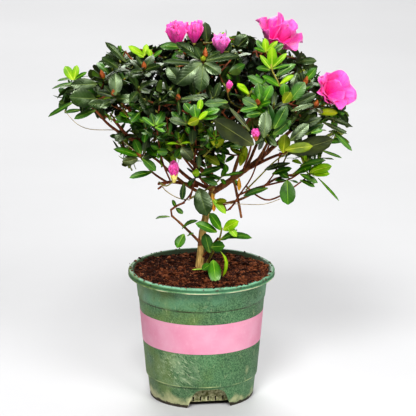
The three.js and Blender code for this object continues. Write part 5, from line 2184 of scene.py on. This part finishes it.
    def _add_leaves(self, buffer: MeshBuffer, spray: Spray, blooms: "Blossom") -> None:
        """Adds the leaves of one spray: the outer ones lower and longer, those at the crown's edge short.

        Args:
            buffer: Where they go.
            spray: The spray.
            blooms: The flowers that they leave room for.
        """
        side = square_to(spray.axis)
        start_turn = self.random.random() * FULL_TURN
        kept = []
        for index in range(spray.leaves):
            rank = (index + 0.5) / spray.leaves
            angle = start_turn + index * GOLDEN_ANGLE + self.random.normal(0, 0.22)
            out = turned(side, spray.axis, angle)
            spread = math.radians(spray.spread * lerp(1.28, 0.62, rank) + self.random.normal(0, 13))
            way = unit(spray.axis * math.cos(spread) + out * math.sin(spread) - UP * 0.10 * (1 - rank))
            face = unit(spray.axis * math.sin(spread) - out * math.cos(spread) + UP * 0.35)
            face = turned(face, way, self.random.normal(0, 0.28))
            length = spray.length * lerp(1.05, 0.66, rank ** 1.5) * lerp(0.78, 1.12, self.random.random())
            width = length * spray.slim * lerp(0.9, 1.12, self.random.random())
            foot = spray.tip - spray.axis * lerp(9.0, 0.5, rank) + out * 0.6
            short = not spray.shows and not Outline.keeps(foot + way * length, self.edge_slack)
            if short:
                length, width = length * 0.6, width * 0.75
            middle, tip = foot + way * length * 0.55, foot + way * length
            if blooms.hit(middle) or blooms.hit(tip):
                continue
            if not spray.shows and (not Outline.keeps(tip, self.edge_slack) or self._hides(middle)
                                    or self._hides(tip) or self._hides(foot)):
                continue
            arch, fold, twist = 0.5, 0.3, 0.0
            if not short:
                arch = lerp(0.75, 0.3, rank) + self.random.normal(0, 0.16)
                fold = lerp(0.2, 0.42, self.random.random())
                twist = self.random.normal(0, 0.22)
            kept.append((foot, way, face, length, width, arch, fold, twist))
        spray.bare = len(kept) < self.fewest_leaves
        for leaf in () if spray.bare else kept:
            self.blade.add(buffer, *leaf)

    def _add_bud(self, buffer: MeshBuffer, spray: Spray) -> None:
        """Adds the bud in the heart of a spray: a small growing tip, or a plump pointed one.

        Args:
            buffer: Where it goes.
            spray: The spray.
        """
        length, girth = (5.0, 1.4) if spray.bud is BudKind.TIP else (12.0, 3.1)
        length *= lerp(0.85, 1.15, self.random.random())
        if spray.bare:
            return
        side, sides = square_to(spray.axis), self.BUD_SIDES
        rings = [spray.tip + spray.axis * (along * length - 1.0)
                 + ring(spray.axis, side, sides, along) * girth * wide for along, wide in self.BUD_SHAPE]
        faces = weave(len(rings), sides)
        slots = [1 if index < sides else 0 for index in range(len(faces) - 2)]
        buffer.add(np.concatenate(rings), faces, slots + [1, 0])


# The flowers


class BloomKind(Enum):
    """How far a flower is open: rings of petals as count, first and last lean in degrees, length share."""

    OPEN = ((5, 32, 70, 1.0), (3, 10, 30, 1.14))
    DOUBLE = ((5, 36, 78, 1.0), (4, 20, 44, 0.86), (3, 6, 16, 0.66))
    CUPPED = ((5, 20, 60, 1.0), (3, 14, 44, 0.76))
    HALF = ((5, 35, -24, 1.0), (4, 23, -19, 0.99), (3, 11, -9, 0.96))
    BUD = ((5, 18, -14, 1.0), (3, 10, -10, 0.92))


class Pink(Enum):
    """The colours of petals, as their finish."""

    PINK = PetalFinish("petal_pink", (214, 6, 132), (246, 34, 160), (252, 100, 184))
    PALE = PetalFinish("petal_pale", (228, 26, 136), (246, 80, 182), (252, 138, 214))


class Sheath(Enum):
    """What a flower sits in, as the dark and light colours of its cup."""

    GREEN = ((150, 160, 50), (196, 186, 80))
    CREAM = ((226, 206, 70), (252, 240, 164))
    RUSTY = ((150, 70, 30), (226, 142, 84))


@dataclass(frozen=True)
class Flower:
    """One flower: where its foot is seen, how deep it lies, the way it faces, its petals and their state."""

    seen: Seen
    deep: float
    faces: Point
    length: float
    width: float
    kind: BloomKind
    reach: float = 8.0
    pink: Pink = Pink.PINK
    sheath: Sheath = Sheath.GREEN
    turn: float = 0.0

    @property
    def behind(self) -> bool:
        """Whether it sits at the back of the crown."""
        return self.deep > 60

    @property
    def foot(self) -> Array:
        """Where the flower sits on its stalk."""
        return SIGHT.place(self.seen, self.deep)

    @property
    def axis(self) -> Array:
        """The way that the flower faces, of length one."""
        return unit(np.array(self.faces, float))

    @property
    def heart(self) -> Array:
        """The middle of the petals."""
        return self.foot + self.axis * self.length * 0.5


FLOWERS = (
    Flower((268, 52), -6, (0.52, -0.25, 0.9), 43, 31, BloomKind.OPEN, 20, turn=12.0),
    Flower((323, 96), -34, (0.42, -0.72, 0.42), 40, 30, BloomKind.CUPPED, 20, turn=42.0),
    Flower((177, 48), 4, (-0.04, -0.08, 1.0), 31, 18, BloomKind.HALF, 13),
    Flower((194, 44), 2, (0.02, -0.05, 1.0), 25, 13, BloomKind.HALF, 10),
    Flower((221, 54), -24, (-0.02, -0.2, 1.0), 23, 13, BloomKind.HALF, 10, Pink.PALE),
    Flower((192, 80), 116, (-0.3, 0.9, 0.1), 28, 26, BloomKind.DOUBLE),
    Flower((236, 88), 120, (0.2, 0.9, 0.2), 24, 16, BloomKind.HALF),
    Flower((228, 91), -98, (0.2, -0.3, 1.0), 12, 7, BloomKind.BUD, 6, sheath=Sheath.RUSTY),
    Flower((256, 139), -118, (-0.05, -0.4, 1.0), 13, 10, BloomKind.BUD, 7, sheath=Sheath.RUSTY),
    Flower((174, 181), -56, (0.0, -0.2, 1.0), 22, 11, BloomKind.BUD, 10, sheath=Sheath.CREAM),
)


@dataclass
class Blossom:
    """The flowers and flower buds, in two pinks, with their cups and stalks."""

    rows: int = 9
    columns: int = 9
    thickness: float = 0.35
    ruffle: float = 2.4
    seed: int = 5

    def hit(self, point: Array) -> bool:
        """Whether a leaf at a point would cross a flower.

        Args:
            point: The point.

        Returns:
            True where it lies in a flower's cone.
        """
        for flower in FLOWERS:
            along = float((point - flower.foot) @ flower.axis)
            away = gap(point, flower.foot + flower.axis * along)
            if 4 < along < flower.length * 1.1 and away < flower.width * 0.2 + along * 0.45:
                return True
        return False

    def build(self, foliage: Foliage) -> None:
        """Makes the petals, cups and stalks as joined pieces.

        Args:
            foliage: What the flowers' stalks grow from.
        """
        source = np.random.default_rng(self.seed)
        petals = {pink: MeshBuffer() for pink in Pink}
        cups = {sheath: MeshBuffer() for sheath in Sheath}
        stalks = MeshBuffer()
        for flower in FLOWERS:
            self._add_flower(petals[flower.pink], flower, source)
            self._add_cup(cups[flower.sheath], stalks, flower, foliage)
        for pink, buffer in petals.items():
            settle(buffer.piece(f"petals_{pink.name.lower()}", [pink.value.material()], 100))
        for sheath, buffer in cups.items():
            name = f"flower_cups_{sheath.name.lower()}"
            settle(buffer.piece(name, [PlainFinish(name, *sheath.value, 240, 0.6, 0.2).material()]))
        stalk = PlainFinish("flower_stalk", (84, 86, 30), (124, 112, 46), 240, 0.6, 0.15)
        settle(stalks.piece("flower_stalks", [stalk.material()]))

    def _add_flower(self, buffer: MeshBuffer, flower: Flower, source: Random) -> None:
        """Adds every petal of a flower, ring by ring from the outside in.

        Args:
            buffer: Where they go.
            flower: The flower.
            source: Random numbers for the ruffles.
        """
        side = square_to(flower.axis)
        play = 12 if flower.kind is BloomKind.HALF else 7
        for whorl, (count, first, last, share) in enumerate(flower.kind.value):
            for index in range(count):
                turn = math.radians(flower.turn) + (index + 0.5 * whorl) * FULL_TURN / count
                turn += source.normal(0, 0.1)
                lean = (math.radians(first), math.radians(last + source.normal(0, play)))
                length = flower.length * share * source.normal(1.0, 0.05)
                self._add_petal(buffer, flower, turned(side, flower.axis, turn), lean, length, source)

    def _add_petal(self, buffer: MeshBuffer, flower: Flower, out: Array, lean: Pair, length: float,
                   source: Random) -> None:
        """Adds one petal: narrow at the throat, broad and ruffled at the brim, thin and closed.

        Args:
            buffer: Where it goes.
            flower: The flower that it belongs to.
            out: The way the petal leans.
            lean: Its lean from the axis at the throat and at the brim, in radians.
            length: Its length.
            source: Random numbers for its ruffles.
        """
        axis = flower.axis
        along = np.linspace(0, 1, self.rows)
        across = np.linspace(-1, 1, self.columns)
        angle = lean[0] + (lean[1] - lean[0]) * along ** 1.6
        step = length / (self.rows - 1)
        middle = (angle[1:] + angle[:-1]) / 2
        high = np.concatenate([[0.0], np.cumsum(np.cos(middle) * step)])
        wide = np.concatenate([[0.6], 0.6 + np.cumsum(np.sin(middle) * step)])
        half = flower.width / 2 * (0.12 + 0.9 * np.sin(along * 1.9) ** 1.2)
        side = np.cross(axis, out)
        rim = np.abs(across)[None, :] ** 2
        notch = 0.32 * length * rim * along[:, None] ** 3
        phase, waves = source.random() * 6.3, 2.2 + source.random() * 1.6
        size = self.ruffle * flower.width / (16 if flower.kind is BloomKind.HALF else 24)
        wave = size * np.sin(across[None, :] * waves * math.pi / 1.6 + phase) * along[:, None] ** 2
        finer = np.sin(across[None, :] * 5.5 + phase * 2 + along[:, None] * 5)
        wave += size * 0.5 * finer * along[:, None] ** 3
        cup = -0.28 * half[:, None] * rim
        inward = np.sin(angle)[:, None] * axis - np.cos(angle)[:, None] * out
        ahead = np.cos(angle)[:, None] * axis + np.sin(angle)[:, None] * out
        spine = flower.foot + high[:, None] * axis + wide[:, None] * out
        sheet = (spine[:, None, :] + (across[None, :] * half[:, None])[..., None] * side
                 + (wave - cup)[..., None] * inward[:, None, :] - notch[..., None] * ahead[:, None, :])
        back = sheet - inward[:, None, :] * self.thickness
        points = np.concatenate([sheet.reshape(-1, 3), back.reshape(-1, 3)])
        places = np.stack(np.meshgrid(across / 2 + 0.5, along), axis=-1).reshape(-1, 2)
        buffer.add(points, self._petal_faces(), None, np.concatenate([places, places]))

    def _petal_faces(self) -> Faces:
        """Joins the points of a petal.

        Returns:
            The faces of its inner side, its outer side and its edge.
        """
        rows, columns = self.rows, self.columns
        half = rows * columns
        faces = []
        for row in range(rows - 1):
            for column in range(columns - 1):
                corner = row * columns + column
                quad = (corner, corner + 1, corner + columns + 1, corner + columns)
                faces.append(quad)
                faces.append(tuple(half + index for index in reversed(quad)))
        edge = [*range(columns), *range(2 * columns - 1, half, columns),
                *range(half - 2, half - columns - 1, -1), *range(half - 2 * columns, 0, -columns)]
        for here, there in zip(edge, edge[1:] + edge[:1]):
            faces.append((there, here, half + here, half + there))
        return faces

    def _add_cup(self, cups: MeshBuffer, stalks: MeshBuffer, flower: Flower, foliage: Foliage) -> None:
        """Adds the cup under a flower and the stalk that carries it.

        Args:
            cups: Where the cup goes.
            stalks: Where the stalk goes.
            flower: The flower.
            foliage: What the stalk grows from.
        """
        foot, axis = flower.foot, flower.axis
        start = foliage.fork_near(foot, 2)
        stalk = Spine.bent(start, foot - axis * gap(foot, start) * 0.5, foot)
        stalks.add(*stalk.tube(lambda share: lerp(1.1, 0.9, share), 6, 6))
        bud = flower.kind is BloomKind.BUD
        girth = flower.width * 0.32 if bud else max(1.6, flower.width * 0.11)
        height = flower.length * 0.56 if bud else girth * 1.1
        cup = Spine(np.linspace(foot - axis * 1.5, foot + axis * height, 5))
        cups.add(*cup.tube(lambda share: girth * (0.45 + 0.75 * math.sin(share * 2.3)), 8, 6))


# The stage


@dataclass
class Stage:
    """A pale floor, soft studio lights and a camera at the photograph's angle."""

    sensor: float = 36.0
    looked_at: Point = (0, 0, 250)

    def build(self) -> None:
        """Sets up floor, light and camera, and shows colours as they are."""
        bpy.context.scene.view_settings.view_transform = "Standard"
        bpy.context.scene.view_settings.look = "Medium High Contrast"
        self._floor()
        self._light()
        self._camera()

    def _floor(self) -> None:
        """A wide pale floor under the pot."""
        deselect()
        bpy.ops.mesh.primitive_plane_add(size=14, location=(0, 0, 0))
        floor = bpy.context.active_object
        floor.name = "floor"
        finish = PlainFinish("pale_floor", (200, 200, 201), (204, 204, 205), 2.0, 0.7, 0.01, 0.2)
        floor.data.materials.append(finish.material())

    def _light(self) -> None:
        """An even white surround, a broad key light from the upper left and weaker ones round it."""
        world = bpy.data.worlds.new("studio")
        bpy.context.scene.world = world
        world.use_nodes = True
        surround = world.node_tree.nodes["Background"]
        surround.inputs["Color"].default_value = (1.0, 0.99, 0.97, 1.0)
        surround.inputs["Strength"].default_value = 0.035
        self._softbox("key", (-240, -1560, 1800), 640, 40.0)
        self._softbox("fill", (1000, -1350, 1300), 900, 20.0)
        self._softbox("back", (200, 1300, 2000), 1400, 20.0)
        self._softbox("backdrop", (-520, 3600, 2600), 3000, 118.0)

    def _softbox(self, name: str, place: Point, size: float, power: float) -> None:
        """A square light that looks at the middle of the plant.

        Args:
            name: Its name.
            place: Where it stands.
            size: The length of its side.
            power: Its power in watts.
        """
        bpy.ops.object.light_add(type="AREA", location=[value * MM for value in place])
        light = bpy.context.active_object
        light.name = name
        light.data.size = size * MM
        light.data.energy = power
        look = Vector(self.looked_at) * MM - light.location
        light.rotation_euler = look.to_track_quat("-Z", "Y").to_euler()

    def _camera(self) -> None:
        """A long lens at the photograph's angle."""
        bpy.ops.object.camera_add(location=SIGHT.eye * MM)
        camera = bpy.context.active_object
        camera.rotation_euler = Vector(-SIGHT.back).to_track_quat("-Z", "Y").to_euler()
        camera.data.sensor_width = self.sensor
        camera.data.lens = self.sensor * SIGHT.distance / SIGHT.frame_width
        camera.data.clip_start = 0.05
        camera.data.clip_end = 60.0
        bpy.context.scene.camera = camera


def main() -> None:
    """Builds the plant in its pot, piece by piece, and the stage round it."""
    logging.basicConfig(level=logging.INFO, format="%(name)s: %(message)s")
    Stage().build()
    NurseryPot().build()
    Peat().build()
    wood = Wood()
    wood.grow()
    wood.build()
    foliage = Foliage(wood)
    foliage.grow()
    blossom = Blossom()
    foliage.build(blossom)
    blossom.build(foliage)


if __name__ == "__main__":
    main()
